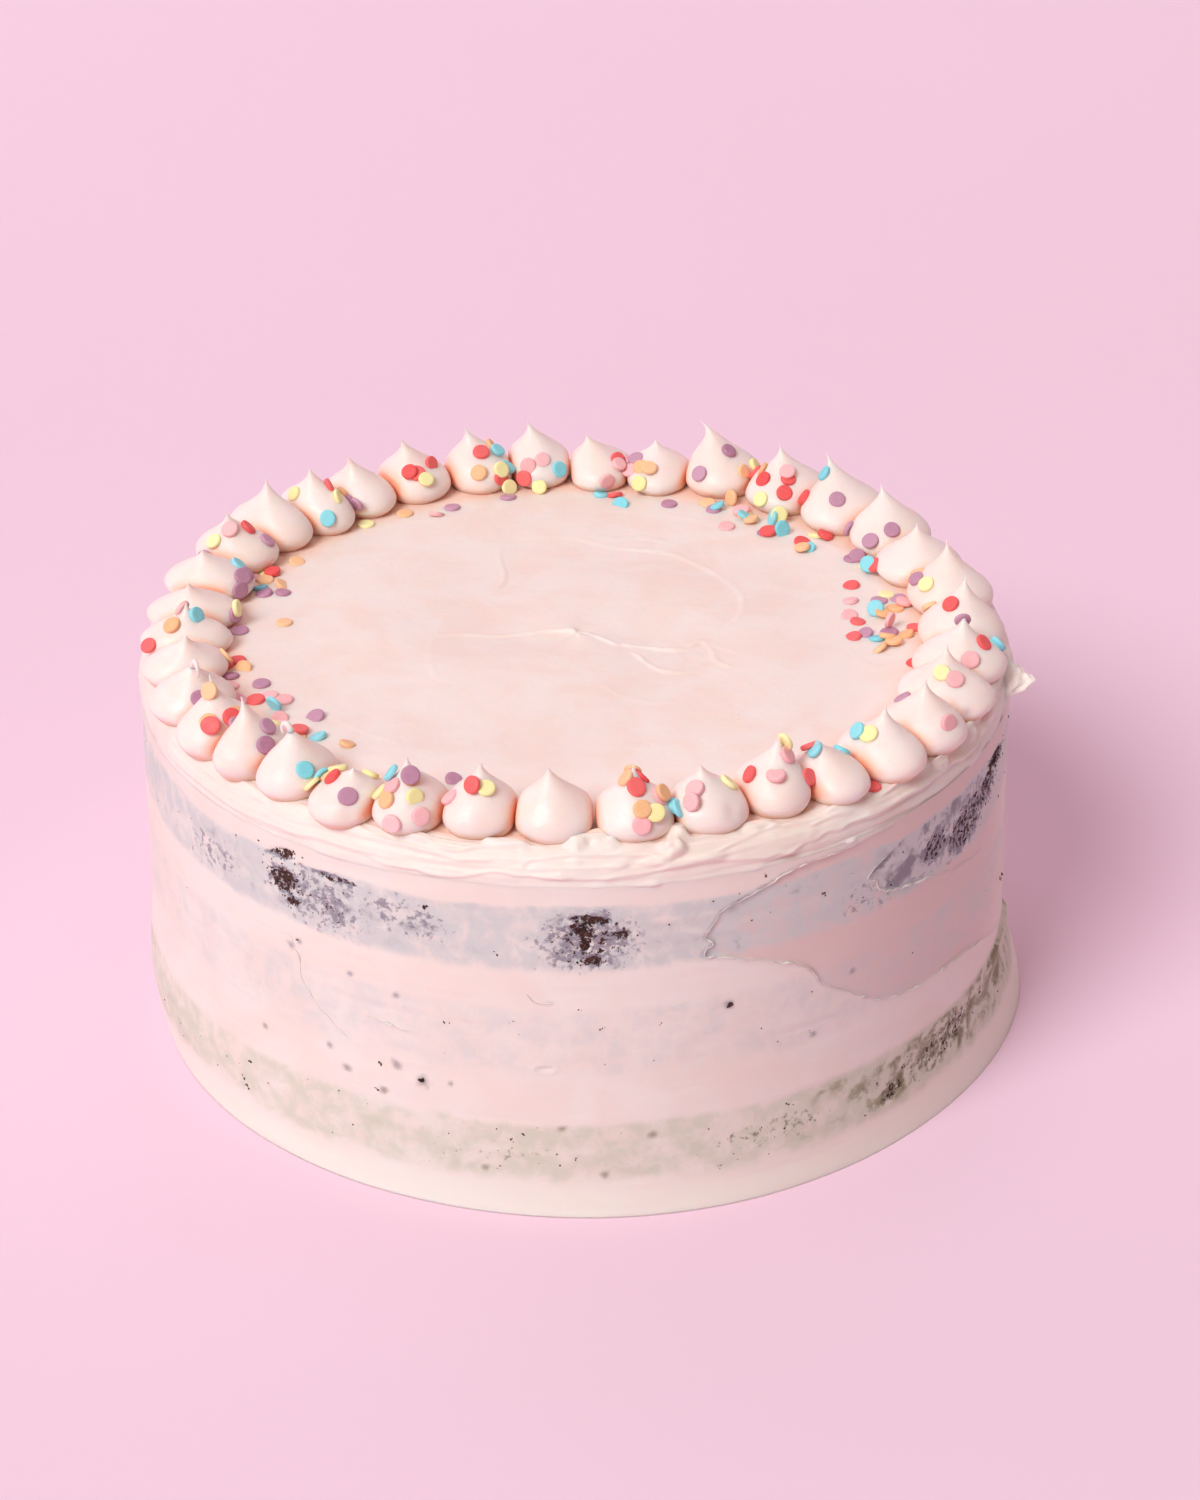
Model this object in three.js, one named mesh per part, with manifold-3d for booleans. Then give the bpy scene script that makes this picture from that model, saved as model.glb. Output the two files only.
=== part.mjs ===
// A round birthday cake: three layers of dark chocolate cake with two fillings, in a coat of pale pink
// buttercream so thin at the side that the layers show, with a ring of piped kisses and confetti sprinkles.
// Millimetres, +Z up. The origin is the middle of the base. Angles go from the front, -Y, towards +X.
import * as THREE from "three";
import { mergeVertices } from "three/addons/utils/BufferGeometryUtils.js";
import Module from "manifold-3d";

const wasm = await Module();
wasm.setup();

// ---- Driving dimensions ----
const COAT_RADIUS = 101.3; // iced side, half way up: a cake from an 8 inch tin and its coat
const SIDE_COAT = 2.6;
const TOP = 93; // level of the iced top
const GAP = 0.3; // clearance between neighbouring pieces
const RIM_WIDTH = 4.2; // rounded edge between side and top
const RIM_DROP = 7;
const SPREAD = 1.2; // how far the base is oval, wider from left to right
const SHIFT = 1.2; // how far the foot of the coat stands to the right
const FLARE = 4.2; // how far the coat runs out over the ground on the right, and up to what height
const FLARE_ANGLE = 88;
const FLARE_HEIGHT = 17;
const LIP = 2.2; // how far it bulges low on the left, and at what height
const LIP_ANGLE = -84;
const LIP_HEIGHT = 14;
const WOBBLE = 0.35; // unevenness of the side as the scraper left it
const RIBBONS = 0.5; // ragged ribbons that the scraper pushed up along the rim
const SWIRL_RADIUS = 76; // the palette knife's swirl in the top
const SWIRL_DEPTH = 0.4;

const RING_RADIUS = 90.5; // the kisses stand near this circle
const KISS_FOOT = 0.84; // width of a kiss's foot, as a share of its widest
const KISS_REACH = 20; // no part of a kiss or of what lies on it is further than this from its middle

const SPRINKLE_RADIUS = 2.05;
const SPRINKLE_THICKNESS = 1.1;
const SPRINKLE_SINK = 0.45; // how deep a sprinkle is pressed in
const SPRINKLE_COLOURS = 6;

const CHOCOLATE = 0x3a211b;
const FILLING = 0xf6cfc6;
const COAT = 0xf7d9d1;
const KISS = 0xfbe4da;
// Layers from the bottom up: name, thickness, colour.
const LAYERS = [
  ["cake_bottom", 25.6, CHOCOLATE],
  ["filling_lower", 12, FILLING],
  ["cake_middle", 19.2, CHOCOLATE],
  ["filling_upper", 9.2, FILLING],
  ["cake_top", 15.6, CHOCOLATE],
];

// The kisses: angle, how far the tip was drawn along the ring, distance from the cake's middle, half width
// across the ring, height.
const KISSES = [
  [-3, -0.9, 88, 8.8, 14.5], [8, -0.3, 88.5, 9, 14.5], [18, -2, 89.5, 8.8, 13.5],
  [28, 1.4, 88.5, 9, 15], [36.5, -3, 91, 9.6, 12.5], [46, 1, 91.5, 10, 14],
  [55.5, 0.3, 92, 10, 14.5], [65.5, 2.5, 90.3, 11, 14], [75.5, 2, 89.8, 10.4, 14.5],
  [86, 3.5, 89, 10, 15], [98, 3, 89, 10, 15.5], [109.5, 1, 87.5, 10.4, 13],
  [120.5, 4.5, 89.5, 10, 14.5], [132, 7, 89.5, 11, 16], [143.5, 2.7, 89.5, 11, 14.5],
  [155.5, 5.5, 90, 10.4, 17], [166, 1, 87, 10.4, 10.8], [176, 3.6, 87.5, 10.4, 12],
  [186, 3, 90, 10.5, 15], [196, 3.6, 90, 10.5, 14.8], [207, 3.5, 90.5, 10.5, 14.8],
  [217, 3.5, 90.5, 10.2, 14.5], [226, 1.5, 90, 11.4, 15], [235, 0, 92, 11.3, 16.5],
  [244, 3, 92, 10.4, 14], [254.5, 2.8, 91, 10.7, 12], [264.5, 4.5, 90, 10.8, 12],
  [273.5, 0.5, 90.2, 10.4, 12], [282, 3.5, 91, 9.6, 12], [292.5, 2, 92.5, 9.6, 14],
  [303, -2.5, 93, 9.4, 16], [311, -2.5, 92.5, 9.2, 16], [319, -1, 91, 9.2, 14.5],
  [329, 2, 93, 9.4, 10.5], [337.5, -0.6, 90.3, 9.2, 14.5], [347, 0.3, 88, 8.8, 14.5],
];
// Kisses whose tip curled over as the nozzle was lifted: number, how far.
const CURLED = new Map([[5, 0.5], [16, 0.5], [30, 1.6], [33, 1.3]]);

// Pinches of sprinkles: angle, distance from the middle, spread along the ring in degrees, across, how many.
const PINCHES = [
  [-175, 86, 3, 4, 5], [-167, 83, 3, 4, 9], [-154, 82, 3, 2, 4], [-154, 73, 3, 2, 2], [-140, 85, 3, 3, 4],
  [-131, 86, 2, 5, 3], [-112, 88, 3, 5, 7], [-107, 82, 5, 3, 6], [-109, 77, 5, 3, 6], [-92, 79, 4, 2, 3],
  [-85, 86, 2, 5, 4], [-76, 82, 2, 2, 5], [-68, 91, 6, 6, 5], [-63, 77, 6, 4, 7], [-52, 94, 4, 6, 8],
  [-50, 77, 3, 3, 3], [-33, 92, 4, 3, 7], [-22, 92, 3, 3, 9], [-12, 90, 2, 1, 2], [8, 89, 3, 2, 7],
  [6, 96, 2, 1, 3], [16, 91, 4, 2, 5], [28, 90, 3, 3, 6], [42, 90, 3, 3, 4], [53, 82, 3, 4, 4],
  [68, 91, 4, 3, 6], [78, 89, 5, 4, 5], [80, 77, 5, 3, 5], [92, 70, 6, 4, 14], [95, 81, 4, 3, 7],
  [114, 77, 4, 3, 5], [133, 74, 4, 3, 9], [131, 83, 6, 4, 7], [147, 76, 4, 3, 8], [149, 85, 4, 4, 10],
  [157, 85, 1, 2, 2], [173, 84, 3, 4, 7], [168, 77, 4, 3, 5],
];
// Single sprinkles: angle, distance from the middle.
const STRAYS = [
  [-22.5, 99.4], [79, 97], [-84, 98.5], [-96, 69], [-44, 72], [-56, 70], [-29, 98], [-21, 73], [35, 88],
  [54.5, 99], [117, 86], [-139, 80], [-147, 79], [171, 71],
];
const SKIPPED = 3; // one sprinkle in this many is left out of the solid

// Where the spatula scraped the coat off the top layer: angle, height, half width, half height, tilt.
const BARE_PATCHES = [
  [-39.5, 77.5, 3.6, 5, 0.5],
  [-35.5, 73.5, 3.4, 2.6, 0.2],
  [1, 74, 4.6, 4.4, 0],
  [56, 72.5, 7.2, 3, 0.35],
];

// ---- Small tools ----
const radians = THREE.MathUtils.degToRad;
const clamp = THREE.MathUtils.clamp;
const wrapped = (angle) => Math.atan2(Math.sin(angle), Math.cos(angle));
const onCircle = (angle, radius) => [radius * Math.sin(angle), -radius * Math.cos(angle)];
const angleOf = (x, y) => Math.atan2(x, -y);

// A repeatable stream of random numbers from 0 to 1.
function randomStream(seed) {
  let state = seed;
  return () => {
    state = (state * 1664525 + 1013904223) % 4294967296;
    return state / 4294967296;
  };
}

// A random number around 0, mostly within 1 of it.
const bell = (random) => (random() + random() + random() + random() - 2) * 1.7;

// A closed geometry with its shared vertices merged, as a solid.
function solid(geometry) {
  const bare = geometry.clone().deleteAttribute("normal").deleteAttribute("uv");
  const merged = mergeVertices(bare, 1e-4);
  const vertProperties = Float32Array.from(merged.attributes.position.array);
  const triVerts = Uint32Array.from(merged.index.array);
  return new wasm.Manifold(new wasm.Mesh({ numProp: 3, vertProperties, triVerts }));
}

function geometryOf(body) {
  const { vertProperties, triVerts } = body.getMesh();
  return new THREE.BufferGeometry()
    .setAttribute("position", new THREE.BufferAttribute(vertProperties, 3))
    .setIndex(new THREE.BufferAttribute(triVerts, 1));
}

// A profile of [radius, height] points turned about +Z.
function turned(profile, segments) {
  const points = profile.map(([radius, height]) => new THREE.Vector2(radius, height));
  return new THREE.LatheGeometry(points, segments).rotateX(Math.PI / 2);
}

// Moves every vertex of a geometry to where place(x, y, z) says.
function reshaped(geometry, place) {
  const position = geometry.attributes.position;
  for (let i = 0; i < position.count; i++) {
    position.setXYZ(i, ...place(position.getX(i), position.getY(i), position.getZ(i)));
  }
  return geometry;
}

// ---- Layers ----
const ROUND_SEGMENTS = 48;

function layer(floor, thickness) {
  const radius = COAT_RADIUS - SIDE_COAT - GAP;
  const height = floor + thickness - GAP;
  return turned([[0, floor], [radius, floor], [radius, height], [0, height]], ROUND_SEGMENTS);
}

// ---- Coat ----
// 1 at an angle given in degrees, and less the further from it, over some degrees.
const bump = (angle, degrees, width) =>
  Math.exp(-((wrapped(angle - radians(degrees)) / radians(width)) ** 2));

// How far the coat stands out from its even radius, at an angle and a height.
function coatBulge(angle, z) {
  const oval = -SPREAD * Math.cos(2 * angle) * (1 - z / TOP);
  const wobble = WOBBLE * (Math.sin(3 * angle + 0.7) + 0.7 * Math.sin(5 * angle + z / 17));
  const shift = SHIFT * Math.sin(angle) * Math.exp(-z / 10);
  const flare = FLARE * bump(angle, FLARE_ANGLE, 32) * (1 - clamp(z / FLARE_HEIGHT, 0, 1) ** 1.6);
  const lip = LIP * bump(angle, LIP_ANGLE, 26) * Math.exp(-(((z - LIP_HEIGHT) / 15) ** 2));
  const besideRim = Math.exp(-(((TOP - z - 4) / 3) ** 2));
  const ribbons = RIBBONS * besideRim * Math.sin(11 * angle) * Math.sin(17 * angle + 1);
  return oval + wobble + shift + flare + lip + ribbons;
}

// Level of the iced top, with the swirl in its middle and the rounded rim round it.
function topLevel(x, y) {
  const distance = Math.hypot(x, y);
  const fade = clamp((SWIRL_RADIUS - distance) / 15, 0, 1);
  const swirl = SWIRL_DEPTH * fade * Math.sin(2 * angleOf(x, y) + distance / 9);
  const over = clamp((distance - (COAT_RADIUS - RIM_WIDTH)) / RIM_WIDTH, 0, 0.999);
  return TOP + swirl - RIM_DROP * (1 - Math.sqrt(1 - over * over));
}

function coat() {
  const inner = COAT_RADIUS - SIDE_COAT;
  const ceiling = LAYERS.reduce((sum, [, thickness]) => sum + thickness, GAP);
  const side = [0, 3, 9, 17, 36, 58, 75, TOP - RIM_DROP].map((z) => [COAT_RADIUS, z]);
  const rim = [0.94, 0.75, 0.4, 0].map((over) => [COAT_RADIUS - RIM_WIDTH * (1 - over), TOP]);
  const top = [74, 54, 34, 15, 0].map((radius) => [radius, TOP]);
  const profile = [[0, ceiling], [inner, ceiling], [inner, 0], ...side, ...rim, ...top];
  const uneven = reshaped(turned(profile, ROUND_SEGMENTS), (x, y, z) => {
    const radius = Math.hypot(x, y);
    const level = z === TOP ? topLevel(x, y) : z;
    const grown = radius < COAT_RADIUS - RIM_WIDTH + 0.1 ? 1 : 1 + coatBulge(angleOf(x, y), level) / radius;
    return radius < inner + 0.1 && z < TOP ? [x, y, z] : [x * grown, y * grown, level];
  });
  const plugs = BARE_PATCHES.map(barePatch);
  return plugs.reduce((body, plug) => body.subtract(plug), solid(uneven).add(rimLick()));
}

// A lick of buttercream that the spatula drew out over the rim, on the right.
function rimLick() {
  const length = 9;
  const lick = new THREE.ConeGeometry(2.4, length, 7).translate(0, length / 2, 0).rotateX(Math.PI);
  const angle = radians(78);
  const [x, y] = onCircle(angle, 97.6);
  return solid(lick.rotateX(radians(15)).rotateZ(angle).translate(x, y, TOP - 5));
}

// A ragged plug that cuts the coat away and leaves the layer behind it bare.
function barePatch([angle, z, halfWidth, halfHeight, tilt]) {
  const depth = 8;
  const plug = new THREE.CylinderGeometry(1, 1, depth, 12).rotateY(0.2);
  const ragged = reshaped(plug, (x, y, height) => {
    const turn = Math.atan2(height, x);
    const reach = 1 + 0.16 * Math.sin(3 * turn + z) + 0.12 * Math.sin(5 * turn + angle);
    return [x * reach * halfWidth, y, height * reach * halfHeight];
  });
  const [x, y] = onCircle(radians(angle), COAT_RADIUS - SIDE_COAT - 1 + depth / 2);
  return solid(ragged.rotateY(-tilt).rotateZ(radians(angle)).translate(x, y, z));
}

// ---- Kisses ----
function makeKisses() {
  const random = randomStream(7);
  const angles = KISSES.map(([angle]) => radians(angle));
  return KISSES.map(([, drawn, distance, across, height], i) => {
    const angle = angles[i];
    const before = wrapped(angle - angles.at(i - 1)) / 2;
    const after = wrapped(angles[(i + 1) % angles.length] - angle) / 2;
    const [alongX, alongY] = onCircle(angle + Math.PI / 2, 1);
    const inward = 0.5 * bell(random);
    const radius = RING_RADIUS * (before + after) * 0.55;
    return {
      name: "kiss_" + String(i + 1).padStart(2, "0"),
      angle,
      before,
      after,
      foot: onCircle(angle, distance),
      radius,
      stretch: across / radius,
      height,
      sharpness: 2.05 + 0.08 * (height - 14.5) + 0.12 * bell(random),
      lean: [alongX * drawn + alongY * inward, alongY * drawn - alongX * inward],
      curl: CURLED.get(i + 1) ?? 0,
    };
  });
}

// Radius of a kiss at a share t of its height: a round belly that draws in to a thin tip.
function kissRadius(kiss, t) {
  const widest = 0.22;
  const swell = (1 / (1 - widest) ** kiss.sharpness - KISS_FOOT) / widest;
  return kiss.radius * (KISS_FOOT + swell * t) * (1 - t) ** kiss.sharpness;
}

// Middle of a kiss at a share t of its height.
function kissMiddle(kiss, t) {
  const over = kiss.curl * clamp((t - 0.7) / 0.3, 0, 1) ** 2;
  const drawn = t * t + 0.6 * over;
  return [
    kiss.foot[0] + kiss.lean[0] * drawn,
    kiss.foot[1] + kiss.lean[1] * drawn,
    TOP + GAP + kiss.height * (t - 0.08 * over),
  ];
}

// A kiss is wider across the ring than along it, all but its tip: stretches an offset from its middle, or
// undoes that with a power of -1.
function stretched(kiss, t, x, y, power = 1) {
  const [outX, outY] = onCircle(kiss.angle, 1);
  const across = x * outX + y * outY;
  const grown = (1 + (kiss.stretch - 1) * clamp((0.8 - t) / 0.35, 0, 1)) ** power - 1;
  return [x + across * outX * grown, y + across * outY * grown];
}

// Neighbouring kisses press flat against each other: keeps a point between its kiss's two contact planes.
function pressed(kiss, x, y) {
  const distance = Math.hypot(x, y);
  const aside = wrapped(angleOf(x, y) - kiss.angle);
  const slack = GAP / 2 / distance;
  return onCircle(kiss.angle + clamp(aside, slack - kiss.before, kiss.after - slack), distance);
}

function kissBody(kiss) {
  const levels = [0, 0.1, 0.26, 0.46, 0.66, 0.84];
  const profile = [[0, 0], ...levels.map((t) => [kissRadius(kiss, t), t]), [0, 1]];
  return solid(
    reshaped(turned(profile, 10), (x, y, t) => {
      const [middleX, middleY, z] = kissMiddle(kiss, t);
      const [offsetX, offsetY] = stretched(kiss, t, x, y);
      return [...pressed(kiss, middleX + offsetX, middleY + offsetY), z];
    }),
  );
}

// ---- Sprinkles ----
// The highest point of the cake above x, y: its level, the way it faces and the piece it belongs to.
function landing(kisses, x, y) {
  const kiss = kisses.find(({ angle, before, after }) => {
    const aside = wrapped(angleOf(x, y) - angle);
    return aside > -before && aside <= after;
  });
  for (let t = 0.96; t > 0.1; t -= 0.02) {
    const [middleX, middleY, z] = kissMiddle(kiss, t);
    const offset = stretched(kiss, t, x - middleX, y - middleY, -1);
    if (Math.hypot(...offset) > kissRadius(kiss, t)) continue;
    const slope = (kissRadius(kiss, t - 0.02) - kissRadius(kiss, t + 0.02)) / 0.04;
    const out = new THREE.Vector3(...stretched(kiss, t, ...offset, -1), 0).normalize();
    const facing = out.multiplyScalar(kiss.height).setZ(Math.max(slope, 0)).normalize();
    return { z, facing, host: kiss.name };
  }
  const step = 0.5;
  const fallX = (topLevel(x - step, y) - topLevel(x + step, y)) / (2 * step);
  const fallY = (topLevel(x, y - step) - topLevel(x, y + step)) / (2 * step);
  return { z: topLevel(x, y), facing: new THREE.Vector3(fallX, fallY, 1).normalize(), host: "icing" };
}

// Drops the sprinkles pinch by pinch. One that lands on another lies on top of it.
function dropSprinkles(kisses) {
  const random = randomStream(11);
  const lying = [];
  const drop = (x, y) => {
    const { z, facing, host } = landing(kisses, x, y);
    const onEdge = host === "icing" && random() < 0.13;
    const tilt = onEdge ? 1.2 : 0.18 * Math.abs(bell(random));
    const [axisX, axisY] = onCircle(random() * 2 * Math.PI, 1);
    const turn = new THREE.Quaternion().setFromAxisAngle(new THREE.Vector3(axisX, axisY, 0), tilt);
    const colour = Math.floor(random() * SPRINKLE_COLOURS);
    const lift = SPRINKLE_THICKNESS / 2 - SPRINKLE_SINK + (onEdge ? SPRINKLE_RADIUS * 0.75 : 0);
    const centre = new THREE.Vector3(x, y, z).addScaledVector(facing, lift);
    const under = lying.filter((other) => other.centre.distanceTo(centre) < SPRINKLE_RADIUS * 1.5);
    if (under.length > 1) return false;
    if (under.length) centre.addScaledVector(facing, SPRINKLE_THICKNESS * 0.8);
    lying.push({ centre, facing: facing.clone().applyQuaternion(turn), host, colour });
    return true;
  };
  for (const [angle, distance, along, across, count] of PINCHES) {
    for (let i = 0; i < count; i++) {
      const dropped = () => {
        const radius = Math.min(distance + across * bell(random), 97);
        return drop(...onCircle(radians(angle + along * bell(random)), radius));
      };
      for (let tries = 0; tries < 5 && !dropped(); tries++);
    }
  }
  for (const [angle, distance] of STRAYS) drop(...onCircle(radians(angle), distance));
  return lying;
}

function sprinkleBody({ centre, facing }, grown = 0) {
  const radius = SPRINKLE_RADIUS + grown;
  const disc = new THREE.CylinderGeometry(radius, radius, SPRINKLE_THICKNESS + 2 * grown, 6);
  const turn = new THREE.Quaternion().setFromUnitVectors(new THREE.Vector3(0, 1, 0), facing);
  return solid(disc.applyQuaternion(turn).translate(centre.x, centre.y, centre.z));
}

// Fuses each sprinkle to the piece that it lies on, unless it would touch another piece.
function fuseSprinkles(bodies, kisses, sprinkles) {
  for (const sprinkle of sprinkles) {
    const { x, y } = sprinkle.centre;
    const near = kisses.filter(({ foot }) => Math.hypot(foot[0] - x, foot[1] - y) < KISS_REACH);
    const others = ["icing", ...near.map(({ name }) => name)].filter((name) => name !== sprinkle.host);
    const room = sprinkleBody(sprinkle, GAP / 2);
    const joined = bodies.get(sprinkle.host).add(sprinkleBody(sprinkle));
    const crosses = others.some((name) => !room.intersect(bodies.get(name)).isEmpty());
    if (!crosses && joined.decompose().length === 1) bodies.set(sprinkle.host, joined);
  }
}

// ---- The cake ----
const cake = new THREE.Group();

function show(name, geometry, color, roughness) {
  const mesh = new THREE.Mesh(geometry, new THREE.MeshStandardMaterial({ color, roughness, metalness: 0 }));
  mesh.name = name;
  cake.add(mesh);
}

let floor = 0;
for (const [name, thickness, colour] of LAYERS) {
  show(name, layer(floor, thickness), colour, 0.9);
  floor += thickness;
}

const kisses = makeKisses();
const bodies = new Map([["icing", coat()], ...kisses.map((kiss) => [kiss.name, kissBody(kiss)])]);
fuseSprinkles(bodies, kisses, dropSprinkles(kisses).filter((_, i) => i % SKIPPED));
for (const [name, body] of bodies) show(name, geometryOf(body), name === "icing" ? COAT : KISS, 0.45);

export default cake;
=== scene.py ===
"""Looks of the birthday cake: a thin coat of pink buttercream that the chocolate layers show through, a ring
of piped kisses and confetti sprinkles. Shapes are worked out in millimetres, +Z up, in the frame of the
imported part. Angles go from the front, -Y, towards +X. They are in degrees in the lists and where a name says
so, and otherwise in radians."""
import math

import bpy
import numpy as np
from mathutils import Matrix, Quaternion, Vector


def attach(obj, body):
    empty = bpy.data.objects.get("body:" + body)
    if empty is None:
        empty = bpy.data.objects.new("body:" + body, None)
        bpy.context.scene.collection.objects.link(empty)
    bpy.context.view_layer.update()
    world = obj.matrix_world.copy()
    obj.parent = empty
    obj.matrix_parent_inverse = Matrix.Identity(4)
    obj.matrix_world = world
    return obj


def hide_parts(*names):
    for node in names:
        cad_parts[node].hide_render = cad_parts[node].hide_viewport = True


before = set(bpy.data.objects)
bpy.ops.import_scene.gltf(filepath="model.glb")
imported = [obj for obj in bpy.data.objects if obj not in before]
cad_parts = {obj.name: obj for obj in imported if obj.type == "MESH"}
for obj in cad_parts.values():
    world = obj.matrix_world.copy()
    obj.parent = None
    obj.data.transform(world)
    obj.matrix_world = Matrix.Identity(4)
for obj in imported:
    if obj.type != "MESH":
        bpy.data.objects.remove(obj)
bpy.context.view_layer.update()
scene = bpy.context.scene
MM = 0.001

# ---- Sizes that the solids have too ----
COAT_RADIUS = 101.3  # iced side, half way up
SIDE_COAT = 2.6
TOP = 93  # level of the iced top
GAP = 0.3  # clearance between neighbouring pieces
RIM_WIDTH = 4.2  # rounded edge between side and top
RIM_DROP = 7
WALL_TOP = TOP - RIM_DROP
SPREAD = 1.2  # how far the base is oval, wider from left to right
SHIFT = 1.2  # how far the foot of the coat stands to the right
FLARE = 4.2  # how far the coat runs out over the ground on the right, and up to what height
FLARE_ANGLE = 88
FLARE_HEIGHT = 17
LIP = 2.2  # how far it bulges low on the left, and at what height
LIP_ANGLE = -84
LIP_HEIGHT = 14
WOBBLE = 0.35  # unevenness of the side as the scraper left it
SWIRL_RADIUS = 76  # the palette knife's swirl in the top
SWIRL_DEPTH = 0.4
CEILING = 81.9  # underside of the coat on top of the upper layer
LICK_ANGLE = 78  # where the spatula drew a lick of buttercream out over the rim

RING_RADIUS = 90.5  # the kisses stand near this circle
KISS_FOOT = 0.84  # width of a kiss's foot, as a share of its widest

SPRINKLE_RADIUS = 2.05
SPRINKLE_THICKNESS = 1.1
SPRINKLE_SINK = 0.45  # how deep a sprinkle is pressed in

# ---- Sizes of the looks ----
RIM_CURVE = 8.9  # length of the rounded edge from the wall to the flat top
RIM_REACH = 18  # how far over the rim from the top of the wall the piece of the rim goes
SEAM_RADIUS = 88  # the rim and the flat top meet here, under the kisses
LIP_STAND = 0.4  # how far the lips along the spatula's edges stand out
ON_EDGE = 0.13  # share of the sprinkles that stand on edge

# The kisses: angle, how far the tip was drawn along the ring, distance from the cake's middle, half width
# across the ring, height.
KISSES = [
    (-3, -0.9, 88, 8.8, 14.5), (8, -0.3, 88.5, 9, 14.5), (18, -2, 89.5, 8.8, 13.5), (28, 1.4, 88.5, 9, 15),
    (36.5, -3, 91, 9.6, 12.5), (46, 1, 91.5, 10, 14), (55.5, 0.3, 92, 10, 14.5), (65.5, 2.5, 90.3, 11, 14),
    (75.5, 2, 89.8, 10.4, 14.5), (86, 3.5, 89, 10, 15), (98, 3, 89, 10, 15.5), (109.5, 1, 87.5, 10.4, 13),
    (120.5, 4.5, 89.5, 10, 14.5), (132, 7, 89.5, 11, 16), (143.5, 2.7, 89.5, 11, 14.5),
    (155.5, 5.5, 90, 10.4, 17), (166, 1, 87, 10.4, 10.8), (176, 3.6, 87.5, 10.4, 12), (186, 3, 90, 10.5, 15),
    (196, 3.6, 90, 10.5, 14.8), (207, 3.5, 90.5, 10.5, 14.8), (217, 3.5, 90.5, 10.2, 14.5),
    (226, 1.5, 90, 11.4, 15), (235, 0, 92, 11.3, 16.5), (244, 3, 92, 10.4, 14), (254.5, 2.8, 91, 10.7, 12),
    (264.5, 4.5, 90, 10.8, 12), (273.5, 0.5, 90.2, 10.4, 12), (282, 3.5, 91, 9.6, 12),
    (292.5, 2, 92.5, 9.6, 14), (303, -2.5, 93, 9.4, 16), (311, -2.5, 92.5, 9.2, 16),
    (319, -1, 91, 9.2, 14.5), (329, 2, 93, 9.4, 10.5), (337.5, -0.6, 90.3, 9.2, 14.5),
    (347, 0.3, 88, 8.8, 14.5),
]
# Kisses whose tip curled over as the nozzle was lifted: number, how far.
CURLED = {5: 0.5, 16: 0.5, 30: 1.6, 33: 1.3}
# Dents in the kisses: number, angle round the kiss in degrees, share of its height, half width, depth.
DIMPLES = [
    (3, 42, 0.34, 1.6, 0.7), (3, 60, 0.22, 1.1, 0.5), (8, 20, 0.16, 1.5, 0.9), (8, 84, 0.42, 0.7, 0.5),
    (24, 150, 0.3, 0.9, 0.6), (36, 12, 0.3, 1.6, 0.3), (1, -20, 0.42, 1.2, 0.3), (34, 8, 0.3, 2, 0.5),
    (21, -150, 0.3, 1.3, 0.3), (13, -60, 0.35, 1.5, 0.4), (29, 30, 0.4, 1.4, 0.4), (17, 170, 0.3, 1.6, 0.4),
]

# Pinches of sprinkles: angle, distance from the middle, spread along the ring in degrees, across, how many.
PINCHES = [
    (-175, 86, 3, 4, 5), (-167, 83, 3, 4, 9), (-154, 82, 3, 2, 4), (-154, 73, 3, 2, 2),
    (-140, 85, 3, 3, 4), (-131, 86, 2, 5, 3), (-112, 88, 3, 5, 7), (-107, 82, 5, 3, 6),
    (-109, 77, 5, 3, 6), (-92, 79, 4, 2, 3), (-85, 86, 2, 5, 4), (-76, 82, 2, 2, 5), (-68, 91, 6, 6, 5),
    (-63, 77, 6, 4, 7), (-52, 94, 4, 6, 8), (-50, 77, 3, 3, 3), (-33, 92, 4, 3, 7), (-22, 92, 3, 3, 9),
    (-12, 90, 2, 1, 2), (8, 89, 3, 2, 7), (6, 96, 2, 1, 3), (16, 91, 4, 2, 5), (28, 90, 3, 3, 6),
    (42, 90, 3, 3, 4), (53, 82, 3, 4, 4), (68, 91, 4, 3, 6), (78, 89, 5, 4, 5), (80, 77, 5, 3, 5),
    (92, 70, 6, 4, 14), (95, 81, 4, 3, 7), (114, 77, 4, 3, 5), (133, 74, 4, 3, 9), (131, 83, 6, 4, 7),
    (147, 76, 4, 3, 8), (149, 85, 4, 4, 10), (157, 85, 1, 2, 2), (173, 84, 3, 4, 7), (168, 77, 4, 3, 5),
]
# Single sprinkles: angle, distance from the middle.
STRAYS = [
    (-22.5, 99.4), (79, 97), (-84, 98.5), (-96, 69), (-44, 72), (-56, 70), (-29, 98), (-21, 73), (35, 88),
    (54.5, 99), (117, 86), (-139, 80), (-147, 79), (171, 71),
]
SPRINKLE_COLOURS = {
    "teal": (128, 220, 236), "pink": (255, 186, 190), "coral": (248, 84, 84),
    "orange": (255, 194, 140), "yellow": (255, 245, 172), "purple": (192, 134, 164),
}

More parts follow.
